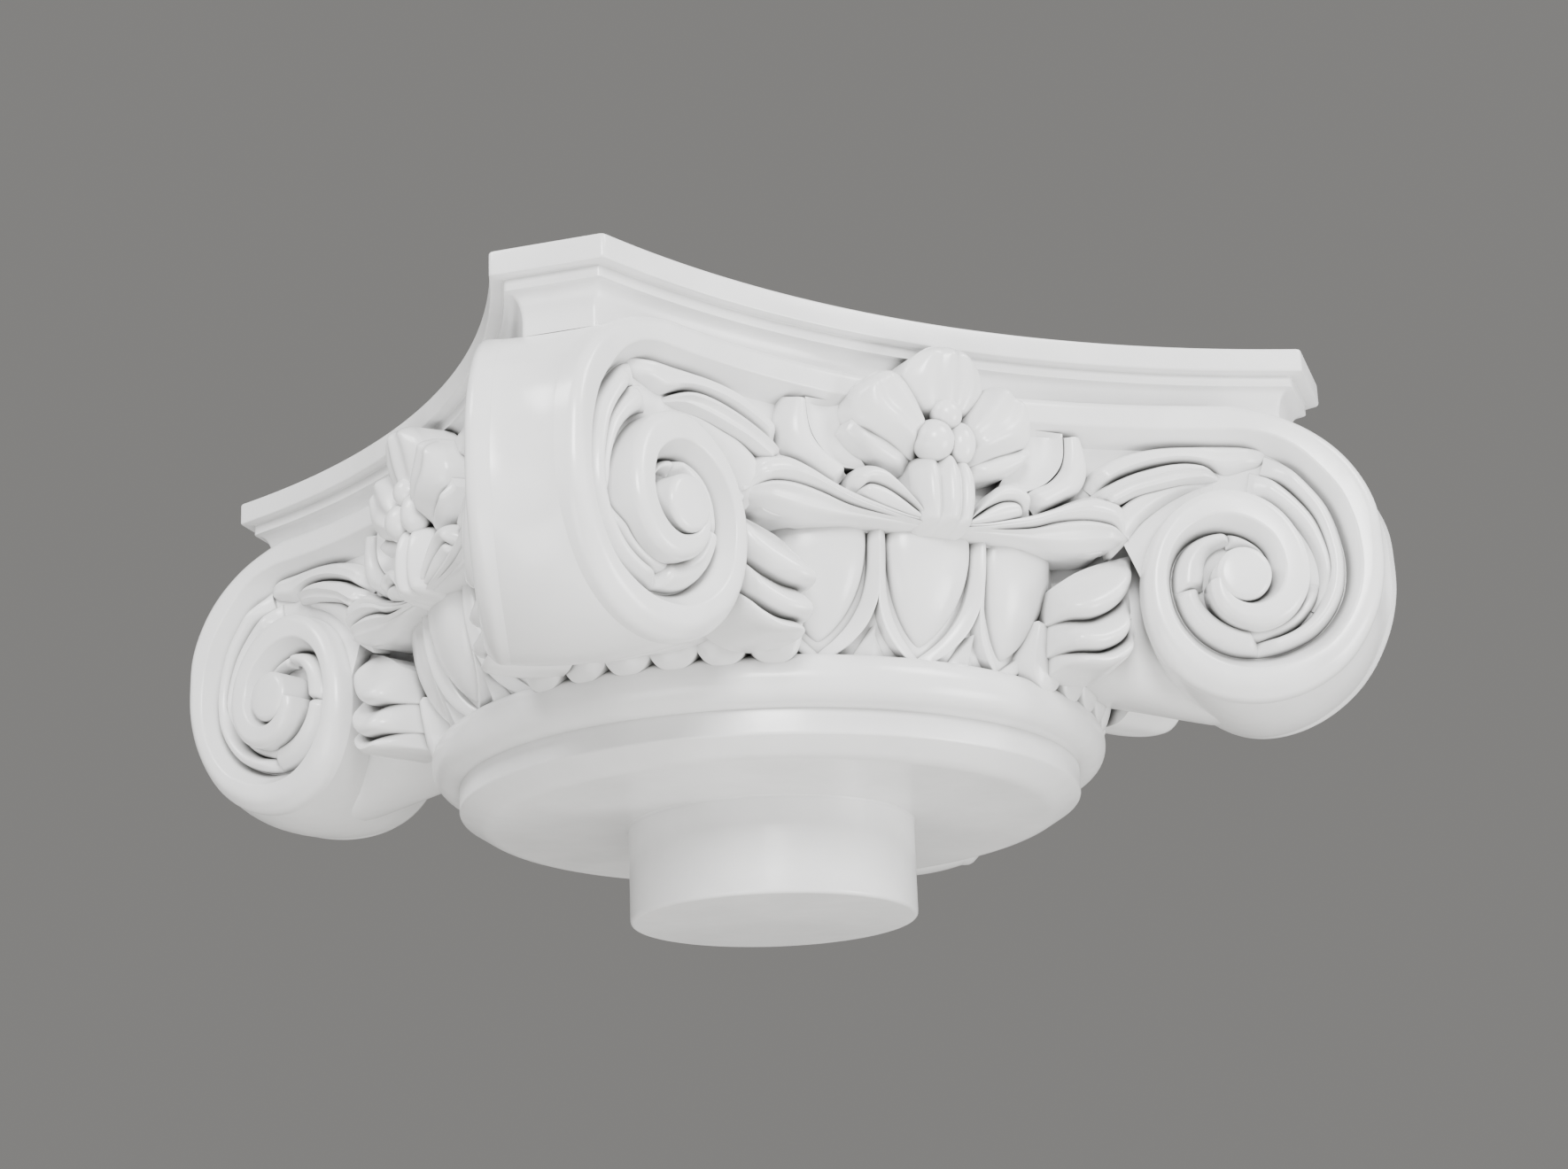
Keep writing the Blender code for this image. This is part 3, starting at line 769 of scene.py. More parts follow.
@dataclass
class Volute:
    """Spiral of the ribbon: radii of its edges by quarter turns past the outward point."""

    face: FaceGround
    centre_s: float = 121.0
    centre_z: float = 110.0
    drift: float = 3.0
    eye_rise: float = 6.0
    rise_from: float = 1.5
    rise_over: float = 3.5
    outer: Pairs = ((-1.0, 67.5), (-0.88, 66.2), (-0.73, 65.0), (-0.56, 63.4), (-0.42, 61.5),
                   (-0.28, 59.2), (-0.14, 56.2), (0.0, 54.7), (0.15, 53.6), (0.3, 53.0),
                   (0.46, 52.8), (0.62, 52.2), (0.8, 51.3), (1.0, 50.2), (1.16, 49.2),
                   (1.31, 47.7), (1.41, 46.2), (1.54, 43.8), (1.66, 41.5), (1.82, 38.6),
                   (2.0, 36.4), (2.2, 35.0), (2.5, 34.4), (2.8, 34.4), (2.94, 34.0), (3.08, 33.0),
                   (3.22, 31.8), (3.38, 30.2), (3.56, 28.4), (3.76, 27.0), (3.95, 26.2),
                   (4.15, 25.5), (4.32, 24.8), (4.5, 23.8), (4.68, 22.6), (4.88, 21.2),
                   (5.06, 19.6), (5.26, 17.9), (5.6, 15.0), (6.0, 12.0))
    inner: Pairs = ((-1.0, 51.0), (-0.8, 51.0), (-0.57, 46.8), (-0.41, 44.8), (-0.23, 42.2),
                   (0.0, 40.8), (0.16, 40.0), (0.44, 37.6), (0.64, 35.2), (0.92, 33.0),
                   (1.12, 31.9), (1.3, 30.4), (1.53, 28.2), (1.75, 26.2), (1.95, 25.0),
                   (2.13, 24.0), (2.32, 22.7), (2.5, 21.1), (2.7, 19.2), (2.97, 17.0),
                   (3.22, 15.0), (3.47, 13.5), (3.67, 12.1), (4.0, 10.5), (5.0, 7.0), (6.0, 5.0))

    def radius(self, edge: Pairs, quarter: Array) -> Array:
        """Radius of an edge at each quarter turn, on a smooth curve through its values."""
        dense = smooth_curve(edge, 400)
        return np.interp(quarter, dense[:, 0], dense[:, 1])

    def rise(self, quarter: Array) -> Array:
        """Relief of the band above the face, growing smoothly towards the eye."""
        return self.eye_rise * ease((quarter - self.rise_from) / self.rise_over)

    def spot(self, radius: Array, quarter: Array) -> Array:
        """Drawing place of a radius at a quarter turn.

        s = s0 + r cos(q pi/2), z = z0 - r sin(q pi/2), where the centre's height z0
        sinks with the band's rise, by the full drift at the eye.

        Args:
            radius: distance from the centre.
            quarter: quarter turns past the outward point.

        Returns:
            (..., 2) values of s and z.
        """
        turn = quarter * math.pi / 2.0
        low = self.centre_z - self.drift * self.rise(quarter) / self.eye_rise
        return np.stack([self.centre_s + radius * np.cos(turn), low - radius * np.sin(turn)],
                        axis=-1)


@dataclass
class VoluteRibbons:
    """Moulded ribbon across each face that winds into a spiral at both ends."""

    finish: bpy.types.Material
    volute: Volute
    top: float = 177.5
    foot: float = 161.0
    root: float = -9.6
    bed: float = -9.5
    edge: float = 2.4
    low_edge: float = 6.0
    bevel: float = 6.0
    lowest: float = 0.95
    low_spread: float = 0.5
    eye_radius: float = 10.6
    eye_flat: float = 0.72
    eye_edge: float = -1.6
    eye_round: float = 2.6
    eye_crown: Pairs = ((0.4, 1.3), (0.08, 1.4))

    def stations(self) -> tuple[Array, Array, Array, Array]:
        """Outer edge, inner edge, rise and lowness of the band along its run.

        The run is straight to above the volute's centre and then spirals; the
        lowness is a bell about the lowest quarter, where the edge is softer.

        Returns:
            (n, 2) outer and inner edges, then rise and lowness, each (n,).
        """
        flat = np.linspace(-3.0, self.volute.centre_s, 42, endpoint=False)
        quarter = np.linspace(-1.0, 5.9, 300)
        straight_top = np.stack([flat, np.full_like(flat, self.top)], axis=1)
        straight_foot = np.stack([flat, np.full_like(flat, self.foot)], axis=1)
        outer = self.volute.spot(self.volute.radius(self.volute.outer, quarter), quarter)
        inner = self.volute.spot(self.volute.radius(self.volute.inner, quarter), quarter)
        rise = np.concatenate([np.zeros(len(flat)), self.volute.rise(quarter)])
        bell = np.exp(-(quarter - self.lowest) ** 2 / self.low_spread)
        low = np.concatenate([np.zeros(len(flat)), bell])
        return np.vstack([straight_top, outer]), np.vstack([straight_foot, inner]), rise, low

    def build(self) -> bpy.types.Object:
        """Carry the band's section along the run.

        The section is the outer wall, the flat rim, the bevel down to the bed and
        the inner wall, with its corners rounded.

        Returns:
            The piece.
        """
        outer, inner, rise, low = self.stations()
        across = inner - outer
        width = np.linalg.norm(across, axis=1)
        unit = across / width[:, None]
        soft = np.minimum(self.edge + (self.low_edge - self.edge) * low, 0.3 * width)
        bevel = np.minimum(self.bevel, 0.38 * width)
        foot = rise + self.bed + 1.0
        zero = np.zeros_like(width)
        section = np.stack([
            np.stack([zero, zero + self.root], axis=1),
            np.stack([zero, rise - soft], axis=1),
            np.stack([soft, rise], axis=1),
            np.stack([width - bevel, rise], axis=1),
            np.stack([width - 0.15 * bevel, foot], axis=1),
            np.stack([width, zero + self.root], axis=1)], axis=1)
        rounding = np.stack([0.8 * soft, 0.8 * soft, zero + 0.9, zero + 0.8], axis=1)
        path = rounded_path(section, rounding, 4)
        spots = outer[:, None, :] + unit[:, None, :] * path[..., :1]
        rings = self.volute.face.lay(np.concatenate([spots, path[..., 1:]], axis=-1))
        shell = Shell()
        shell.add_tube(rings)
        self.add_eye(shell)
        return shell.mirrored().quartered().to_object("volute_ribbons", self.finish)

    def add_eye(self, shell: Shell) -> None:
        """Add the eye: a disc whose rim is a quarter ellipse round a low crown.

        Args:
            shell: where it goes.
        """
        turn = np.linspace(0.0, math.pi / 2.0, 9)[:-1]
        crown = np.array(self.eye_crown)
        rim = self.eye_flat + (1.0 - self.eye_flat) * np.cos(turn)
        radius = np.concatenate([[1.0], rim, crown[:, 0]]) * self.eye_radius
        rise = np.concatenate([self.eye_edge + self.eye_round * np.sin(turn), crown[:, 1]])
        lift = np.concatenate([[self.root], self.volute.eye_rise + rise])
        around = np.linspace(0.0, 4.0, 40, endpoint=False)
        centre_z = self.volute.centre_z - self.volute.drift
        s = self.volute.centre_s + radius[:, None] * np.cos(around * math.pi / 2.0)
        z = centre_z + radius[:, None] * np.sin(around * math.pi / 2.0)
        d = np.broadcast_to(lift[:, None], s.shape)
        shell.add_tube(self.volute.face.lay(np.stack([s, z, d], axis=-1)))


@dataclass
class CornerScrolls:
    """Body of each corner: the volute's outline ruled from face to face."""

    finish: bpy.types.Material
    volute: Volute
    hollow: float = 2.5
    belly: float = 2.8
    inner: float = 79.0
    low: float = 123.0
    edge: float = 176.4
    inset: float = 0.05
    sunk: float = 9.5
    shrinks: tuple[float, ...] = (0.03, 0.25, 0.5, 0.75)
    web_top: float = 150.0
    web: tuple[tuple[float, float, float], ...] = (
        (96, 84, 42), (120, 80, 41), (132, 76.5, 39), (139, 74.5, 37), (150, 71, 33),
        (165, 66, 27), (180, 61.5, 23), (192, 60, 21), (202, 62, 18))

    def swell(self, quarter: Array) -> Array:
        """Swell of the middle past a straight rule: hollow outside, full underneath.

        Args:
            quarter: quarter turns past the outward point.

        Returns:
            Swell in millimetres, straight between a few turns.
        """
        turns = (-1.0, 0.0, 0.25, 0.5, 1.0, 2.0)
        lifts = (0.0, -self.hollow, 0.3 * self.belly, 0.8 * self.belly, self.belly, self.belly)
        return np.interp(quarter, turns, lifts)

    def outline(self) -> Array:
        """Closed outline on the face with its swell and the swell's direction.

        Returns:
            (n, 5) values of s, z, swell and the direction along s and z.
        """
        quarter = np.linspace(-1.0, 2.0, 84)
        radius = self.volute.radius(self.volute.outer, quarter) - self.inset
        curl = np.column_stack([self.volute.spot(radius, quarter), self.swell(quarter)])
        lead = np.linspace(self.inner, self.volute.centre_s, 12, endpoint=False)
        top = np.column_stack([lead, np.full(12, self.edge), np.zeros(12)])
        back = np.array([(self.inner, self.low, 0.0)])
        path = np.vstack([back, top, curl])
        away = path[:, :2] - np.array([self.volute.centre_s, self.volute.centre_z])
        away /= np.linalg.norm(away, axis=1)[:, None]
        return np.column_stack([path, away])

    def build(self) -> bpy.types.Object:
        """Rule the outline across the corner.

        For share w of the way across, a point is (1 - w) P + w P', with P' its
        mirror image in the diagonal, pushed along the swell's direction by
        4 w (1 - w) times the swell. Inside the ribbon the ends close on rings
        drawn in towards the volute's centre.

        Returns:
            The piece.
        """
        path = self.outline()
        centre = np.array([self.volute.centre_s, self.volute.centre_z])
        rings = []
        for shrink in self.shrinks:
            drawing = np.column_stack([centre + (path[:, :2] - centre) * shrink,
                                       np.full(len(path), -self.sunk)])
            rings.append(self.volute.face.lay(drawing))
        flat = self.volute.face.lay(np.column_stack([path[:, :2], np.full(len(path), -self.sunk)]))
        swap = np.array([[0.0, -1.0, 0.0], [-1.0, 0.0, 0.0], [0.0, 0.0, 1.0]])
        far = flat @ swap
        outward = np.column_stack([path[:, 3] * math.sqrt(0.5), -path[:, 3] * math.sqrt(0.5),
                                   path[:, 4]])
        middle = [flat * (1 - w) + far * w + outward * (4 * w * (1 - w) * path[:, 2])[:, None]
                  for w in cosine_shares(21)]
        closing = [ring @ swap for ring in rings[::-1]]
        shell = Shell()
        shell.add_tube(np.array(rings + middle + closing))
        self.add_web(shell)
        return shell.quartered().to_object("corner_scrolls", self.finish, SCROLL_CRISP)

    def add_web(self, shell: Shell) -> None:
        """Add the solid behind the palmettes that carries the scroll out from the bowl.

        Sections across the diagonal are superellipses |x/a|^3 + |y/b|^3 = 1 whose
        underside runs down from the bowl's foot to the scroll's belly. Each row of
        the web is a distance from the axis, the underside's height and the half width.

        Args:
            shell: where it goes.
        """
        rho, low, half = np.array(self.web, float).T
        high = self.web_top
        turn = np.linspace(0.0, 2.0 * math.pi, 40, endpoint=False)
        c, s = np.cos(turn), np.sin(turn)
        x = np.sign(c) * np.abs(c) ** (2.0 / 3.0)
        y = np.sign(s) * np.abs(s) ** (2.0 / 3.0)
        side = half[:, None] * x
        z = (high + low)[:, None] / 2.0 + (high - low)[:, None] / 2.0 * y
        r = np.broadcast_to(rho[:, None], side.shape)
        shell.add_tube(np.stack([(r - side) * math.sqrt(0.5), -(r + side) * math.sqrt(0.5), z],
                                axis=-1))


@dataclass(frozen=True)
class ChannelLeaf:
    """Leaf segment in a volute's channel.

    It spans two quarter turns, takes an outer and an inner share of the channel
    at its start and at its end, and fades in and out over shares of its length.
    """

    span: tuple[float, float]
    start: tuple[float, float]
    end: tuple[float, float]
    crest: float
    ends: tuple[float, float]


@dataclass
class VoluteLeaves:
    """Rounded leaf segments from the mouth of the ribbon's channel to the eye."""

    finish: bpy.types.Material
    volute: Volute
    bed: float = -9.5
    bed_rise: float = 0.55
    clear: float = 0.2
    sink: float = 5.0
    thinnest: float = 0.15
    segments: tuple[ChannelLeaf, ...] = (
        ChannelLeaf((-0.82, 0.95), (0.02, 0.46), (0.02, 0.55), 7.5, (0.1, 0.12)),
        ChannelLeaf((-0.88, 0.32), (0.46, 0.98), (0.30, 0.62), 6.5, (0.12, 0.3)),
        ChannelLeaf((0.1, 1.05), (0.62, 0.98), (0.45, 0.98), 6.0, (0.3, 0.1)),
        ChannelLeaf((0.86, 1.86), (0.02, 0.98), (0.02, 0.75), 8.0, (0.1, 0.12)),
        ChannelLeaf((1.74, 2.95), (0.02, 0.98), (0.02, 0.8), 7.0, (0.1, 0.15)),
        ChannelLeaf((2.82, 3.9), (0.02, 0.98), (0.02, 0.9), 5.0, (0.12, 0.3)))

    def add_segment(self, shell: Shell, leaf: ChannelLeaf) -> None:
        """Add one segment between two turns of the spiral.

        At quarter q the channel runs from the band's foot to the outer edge of
        its next turn. The segment's section is nearly an ellipse, and its sides
        and bed move smoothly from start to end.

        Args:
            shell: where it goes.
            leaf: the segment's sizes.
        """
        t = np.linspace(0.0, 1.0, 48)
        quarter = leaf.span[0] + (leaf.span[1] - leaf.span[0]) * t
        foot = self.volute.radius(self.volute.inner, quarter)
        core = self.volute.radius(self.volute.outer, quarter + 4.0)
        v = cosine_shares(13)
        outer = leaf.start[0] + (leaf.end[0] - leaf.start[0]) * ease(t)
        inner = leaf.start[1] + (leaf.end[1] - leaf.start[1]) * ease(t)
        mix = outer[:, None] * (1 - v) + inner[:, None] * v
        radius = foot[:, None] * (1 - mix) + core[:, None] * mix
        turns = np.broadcast_to(quarter[:, None], radius.shape)
        spots = self.volute.spot(radius, turns)
        fade = (ease(t / leaf.ends[0]) * ease((1 - t) / leaf.ends[1]))[:, None]
        base = self.bed + self.bed_rise * self.volute.rise(turns)
        height = self.thinnest + (1.0 - self.thinnest) * fade
        lift = base + self.clear + leaf.crest * Section.ROUND.height(v)[None, :] * height
        over = np.concatenate([spots, lift[..., None]], axis=-1)
        under = np.concatenate([spots, (base - self.sink)[..., None]], axis=-1)
        shell.add_slab(self.volute.face.lay(over), self.volute.face.lay(under))

    def build(self) -> bpy.types.Object:
        """Place the segments of one volute and repeat them.

        Returns:
            The piece.
        """
        shell = Shell()
        for leaf in self.segments:
            self.add_segment(shell, leaf)
        return shell.mirrored().quartered().to_object("volute_leaves", self.finish)


def acanthus_leaves() -> tuple[Leaf, ...]:
    """Leaves of the frieze, each between its two edges on the face.

    Returns:
        The sweep over the volute, the low spray, the upright leaf with its dish and
        the curl beside the calyx.
    """
    sweep_upper = Leaf(
        ((63, 146, -8.4), (68.5, 151.5, -7.5), (76, 156, -7.1), (84, 159, -6.7), (93.5, 161, -6.9),
         (105.5, 162, -7.2), (117.5, 162.7, -7.9), (129, 162.3, -8.7), (140.5, 162, -9.5)),
        ((68, 141, -6.5), (76, 147, -6.1), (84, 150.6, -6.2), (92.5, 153.2, -6.4),
         (101.5, 154.7, -7.1), (108.5, 154.5, -7.7), (114.5, 152.8, -8.4), (120.5, 150.8, -9.5),
         (127.5, 152.6, -9.7), (134.5, 154.5, -10.4), (140.7, 160.5, -10.5)), 7.0, ends=(0.1, 0.2),
        vein=0.6, veins=2.0, settle=1.6)
    sweep_lower = Leaf(
        ((64, 139, -6.4), (72, 145, -6.5), (80, 149.2, -6.7), (88, 152.2, -6.8), (97, 154.7, -7.5),
         (105, 155.3, -8.1), (111.5, 153.7, -8.3), (117, 151.3, -9.4), (121, 149.6, -10.5)),
        ((69.5, 133.4, -4.5), (77.3, 137, -4.6), (83.4, 140.2, -5.2), (91.5, 142.8, -5.9),
         (99.5, 145, -6.5), (107.6, 147, -7.7), (113.7, 148.2, -8.8), (121, 149, -10.5)), 8.0,
        ends=(0.1, 0.2), vein=0.9, veins=3.0, settle=1.6)
    sweep_base = Leaf(
        ((75, 119.6, -13.5), (72.5, 127, -8), (75.5, 134, -5.3), (83.6, 140.7, -5.7),
         (91.6, 143.5, -6.4), (99.8, 146, -7.5), (108, 148.2, -9.2), (118, 149.6, -10.4)),
        ((76, 119.2, -14), (79.5, 122.7, -10.5), (82.5, 126.9, -8.9), (86.5, 131.7, -8.8),
         (92.5, 136.4, -9.4), (99.5, 141, -10.0), (107.4, 144.8, -10.7), (118.2, 147.5, -11.4)),
        3.0, ends=(0.15, 0.3))
    low_upper = Leaf(
        ((6, 121.5, 0), (18, 123.5, 0), (30.5, 127, -1.1), (41, 130.2, -2.2), (49.3, 133.6, -3.3),
         (57.4, 137.3, -3.8), (64.5, 139.6, -4.4), (71.6, 139.2, -5), (77.7, 136.3, -5.6),
         (81.5, 130, -6.7)),
        ((5.4, 119, 1), (17.5, 120, 1), (30, 122, -0.1), (40.2, 124.2, -0.7), (50.4, 127.4, -1.3),
         (60.6, 129, -1.9), (68.7, 128.7, -2.5), (75, 127, -3.6), (80.6, 124.2, -5.7)), 6.4,
        ends=(0.05, 0.12), vein=0.9, veins=2.0, settle=1.6)
    low_lower = Leaf(
        ((3.4, 120.6, 1), (17.5, 121.6, 1), (30, 123, -0.1), (40.2, 124.8, -0.7), (50.4, 128, -1.3),
         (60.6, 129.7, -1.9), (68.7, 129.3, -2.5), (75, 127.6, -3.6), (79.7, 124.7, -5.7)),
        ((5.7, 118.3, -3), (20, 118.8, -4), (32.4, 118.8, -5.1), (42.7, 118.1, -6.2),
         (53, 117.6, -7.3), (63, 118.5, -8.4), (71, 120, -8.5), (76.8, 122, -8.6),
         (80.3, 124.4, -7.7)), 6.2, ends=(0.05, 0.12), vein=0.8, veins=2.0,
        settle=1.6)
    upright = Leaf(
        ((37, 136.7, -2.1), (41, 140.2, -2.2), (48, 143.7, -2.2), (52.8, 148.8, -2.3),
         (54.8, 154.8, -2.3), (55.5, 163.2, -2.8)),
        ((42.3, 130.6, -3.2), (47.3, 133, -3.2), (54.4, 137, -3.8), (60.6, 141, -4.4),
         (64.4, 146.8, -5.4), (65, 154, -5.9), (62.6, 164.3, -5.9)), 6.0, ends=(0.12, 0.05), settle=1.2)
    dish = Leaf(
        ((27.5, 140, -3.1), (32, 147.5, -4.1), (35, 154.6, -4.1), (38, 165.6, -4.1)),
        ((38.7, 139, -1.7), (46.6, 143, -1.7), (52, 148.6, -1.8), (54.4, 154.6, -1.8),
         (55, 163.8, -2.3)), 3.0, Section.CUP, ends=(0.2, 0.05))
    curl_upper = Leaf(
        ((8, 121.7, 2), (12.4, 126.4, 3), (16.4, 130.4, 3), (20.7, 135, 2.5), (26.5, 139.4, 1.9),
         (32.8, 139.6, 1.4), (38, 135.6, 0.8), (39, 129.5, -0.2)),
        ((8.6, 121, 2.5), (14, 125.5, 3.5), (20.2, 129.5, 3.5), (25.5, 132, 2.9), (30.8, 132.7, 2.4),
         (34, 130.8, 1.9), (35.5, 128, 0.9)), 6.6, ends=(0.1, 0.15), settle=1.5)
    curl_lower = Leaf(
        ((8, 121.6, 2), (14.4, 126, 3), (20.4, 130, 3), (25.7, 132.6, 2.4), (31, 133.2, 1.9),
         (34.5, 131.4, 0.9), (37, 128.5, -0.1)),
        ((8.4, 120.6, 1), (17.5, 121.6, 1), (26, 123.5, -0.1), (32.5, 126, -1.1), (37.5, 128.4, -1.1)),
        6.2, ends=(0.1, 0.2), settle=1.5)
    return (sweep_upper, sweep_lower, sweep_base, low_upper, low_lower, upright, dish, curl_upper,
            curl_lower)


@dataclass
class Acanthus:
    """Acanthus sprays that spread from the flower along each face."""

    finish: bpy.types.Material
    face: FaceGround
    leaves: tuple[Leaf, ...] = field(default_factory=acanthus_leaves)

    def build(self) -> bpy.types.Object:
        """Carve the leaves of the right half and repeat them on every half face.

        Returns:
            The piece.
        """
        shell = Shell()
        for leaf in self.leaves:
            leaf.carve(shell, self.face)
        return shell.mirrored().quartered().to_object("acanthus", self.finish)


def palmette_leaves() -> tuple[Leaf, ...]:
    """Lobes of the half palmette between the eggs and the volute.

    Returns:
        The high, middle and low lobe.
    """
    high = Leaf(
        ((49.6, 105, -38), (49.9, 105, -27), (51.2, 105.5, -17), (55, 108, -11),
         (62, 112.5, -11), (73, 117.5, -13.6), (84.5, 121.7, -16.8)),
        ((49.6, 93, -38), (49.9, 92.5, -24), (51.0, 92, -12), (54.5, 91.8, -4.6),
         (64, 92.6, -3.5), (74.5, 98.4, -7.6), (81.3, 107.2, -12.2), (84.8, 120.5, -15.8)), 8.5,
        Section.SCOOP, sink=20, ends=(0.4, 0.2), settle=3.0)
    middle = Leaf(
        ((50, 93, -38), (50.4, 93.5, -27), (51.8, 94, -17), (56, 94.8, -11), (65, 95.8, -11),
         (75.8, 101.8, -13.6), (82.6, 110.8, -16.4)),
        ((50.4, 81, -38), (50.8, 80.5, -24), (52, 80.2, -12.5), (56.5, 79.6, -5.2),
         (67, 80, -4.8), (77.2, 86, -8.6), (82.4, 98.3, -14.2)), 8.5, Section.SCOOP, sink=20,
        ends=(0.4, 0.2), settle=3.0)
    low = Leaf(
        ((51, 82, -38), (51.4, 82.5, -28), (53, 82.6, -18), (58, 82.3, -12.0), (68, 83, -12),
         (78, 88.7, -14.2), (83.8, 97, -17.3)),
        ((52, 75, -40), (52.4, 74.5, -26), (54, 73.8, -14), (60, 73.2, -7.5), (70, 73.6, -7.5),
         (79.0, 79.4, -10.7), (84, 90, -15.3)), 8.0, Section.SCOOP, sink=20,
        ends=(0.4, 0.2), settle=3.0)
    return (high, middle, low)


@dataclass
class Palmettes:
    """Half palmettes that spring from behind the volutes over the outer eggs."""

    finish: bpy.types.Material
    face: FaceGround
    bowl: BowlGround
    lobes: tuple[Leaf, ...] = field(default_factory=palmette_leaves)
    tip_turns: tuple[float, ...] = (25.5, 33.5, 41.2)

    def corner_tips(self, shell: Shell) -> None:
        """Add the scalloped leaf tips that hug the bowl under palmette and scroll.

        Args:
            shell: where they go.
        """
        for turn in self.tip_turns:
            left = ((turn - 4.2, 94, 8), (turn - 4.5, 84, 10), (turn - 4.1, 76, 11.5),
                    (turn - 2.4, 70.5, 11.5), (turn - 0.1, 68.6, 11.0))
            tip = Leaf(left, opposite(left, turn), 2.8, sink=16, ends=(0.0, 0.3), along=24)
            tip.carve(shell, self.bowl)

    def build(self) -> bpy.types.Object:
        """Carve the lobes of one half and repeat them.

        Returns:
            The piece.
        """
        shell = Shell()
        for lobe in self.lobes:
            lobe.carve(shell, self.face)
        self.corner_tips(shell)
        return shell.mirrored().quartered().to_object("palmettes", self.finish)


@dataclass(frozen=True)
class Berry:
    """Berry of a flower: its place on the face, radius and height over width."""

    s: float
    z: float
    relief: float
    radius: float
    tall: float


@dataclass
class Flowers:
    """Flower in the middle of each face: calyx, berries and petals."""

    finish: bpy.types.Material
    face: FaceGround
    berries: tuple[Berry, ...] = (Berry(-5.6, 151.0, 8.5, 8.2, 1.0), Berry(6.2, 151.5, 8.0, 6.4, 1.3),
                                  Berry(0.2, 161.8, 9.0, 6.4, 1.0))

    def calyx(self, shell: Shell) -> None:
        """Add the ribbed cup: a pod whose section has three round ribs.

        Args:
            shell: where it goes.
        """
        left = ((-7, 116.5, -3), (-10.8, 119, 0.5), (-12.8, 125, 3.0), (-13.8, 133, 3.6),
                (-13.6, 140, 2.8), (-11.6, 144.8, 0.5), (-7, 147.2, -2.5))
        pod = Leaf(left, opposite(left), 11.0, Section.PLEATED, sink=10, ends=(0.22, 0.12),
                   along=48, across=61)
        pod.carve(shell, self.face)

    def top_petal(self, shell: Shell) -> None:
        """Add the broad, faintly veined upper petal, which leans out over the cavetto.

        Args:
            shell: where it goes.
        """
        left = ((-6, 159, 1), (-12, 163.5, 3.5), (-16, 168.5, 5.5), (-17.8, 174, 7.2),
                (-16.4, 179, 8.4), (-12.6, 183.6, 9.4), (-7, 187.3, 10), (-0.5, 188.7, 10))
        petal = Leaf(left, opposite(left), 8.0, sink=16, ends=(0.2, 0.32), vein=0.8, along=48,
                     across=49)
        petal.carve(shell, self.face)

    def side_petals(self, shell: Shell) -> None:
        """Add the petal beside the berries and the smaller one that curls under it.

        Args:
            shell: where they go.
        """
        upper = Leaf(((4, 153, 2), (8, 160.5, 4.5), (12, 167.5, 6), (17, 173.8, 6.5), (23, 176.6, 6.5),
                      (29, 175.5, 6)),
                     ((9, 144, 1), (16, 146, 3), (23, 149, 5), (30, 151.5, 5.5), (36.5, 155, 4.5),
                      (38.8, 161, 4), (37, 168, 4.5), (31.5, 173.8, 5.5)), 8.0,
                     sink=14, ends=(0.25, 0.24), vein=1.0, veins=2.0, along=48, across=49)
        lower = Leaf(((9, 147, 1), (17, 149.5, 3), (25, 152, 4.5), (32, 153, 4.5), (38, 156.5, 3)),
                     ((11, 139.5, -2), (19, 140.5, -0.5), (27, 142.6, 1), (34, 146.5, 1.5),
                      (39.8, 152.5, 1.5)), 4.5, Section.SCOOP, sink=12, ends=(0.3, 0.2), along=36,
                     across=21)
        upper.carve(shell, self.face)
        lower.carve(shell, self.face)

    def berry(self, shell: Shell, berry: Berry) -> None:
        """Add a berry: a ball, its drawing radius times cos and its relief times sin.

        Args:
            shell: where it goes.
            berry: its place and sizes.
        """
        tilt = np.linspace(-math.pi / 2.0, math.pi / 2.0, 17)[1:-1, None]
        turn = np.linspace(0.0, 2.0 * math.pi, 28, endpoint=False)[None, :]
        ball = np.stack([berry.s + berry.radius * np.cos(tilt) * np.cos(turn),
                         berry.z + berry.radius * berry.tall * np.cos(tilt) * np.sin(turn),
                         berry.relief + berry.radius * np.sin(tilt) + 0.0 * turn], axis=-1)
        shell.add_tube(self.face.lay(ball))

    def build(self) -> bpy.types.Object:
        """Join the flower's parts; the side petals are mirrored.

        Returns:
            The piece.
        """
        half = Shell()
        self.side_petals(half)
        whole = half.mirrored()
        self.calyx(whole)
        self.top_petal(whole)
        for berry in self.berries:
            self.berry(whole, berry)
        return whole.quartered().to_object("flowers", self.finish)


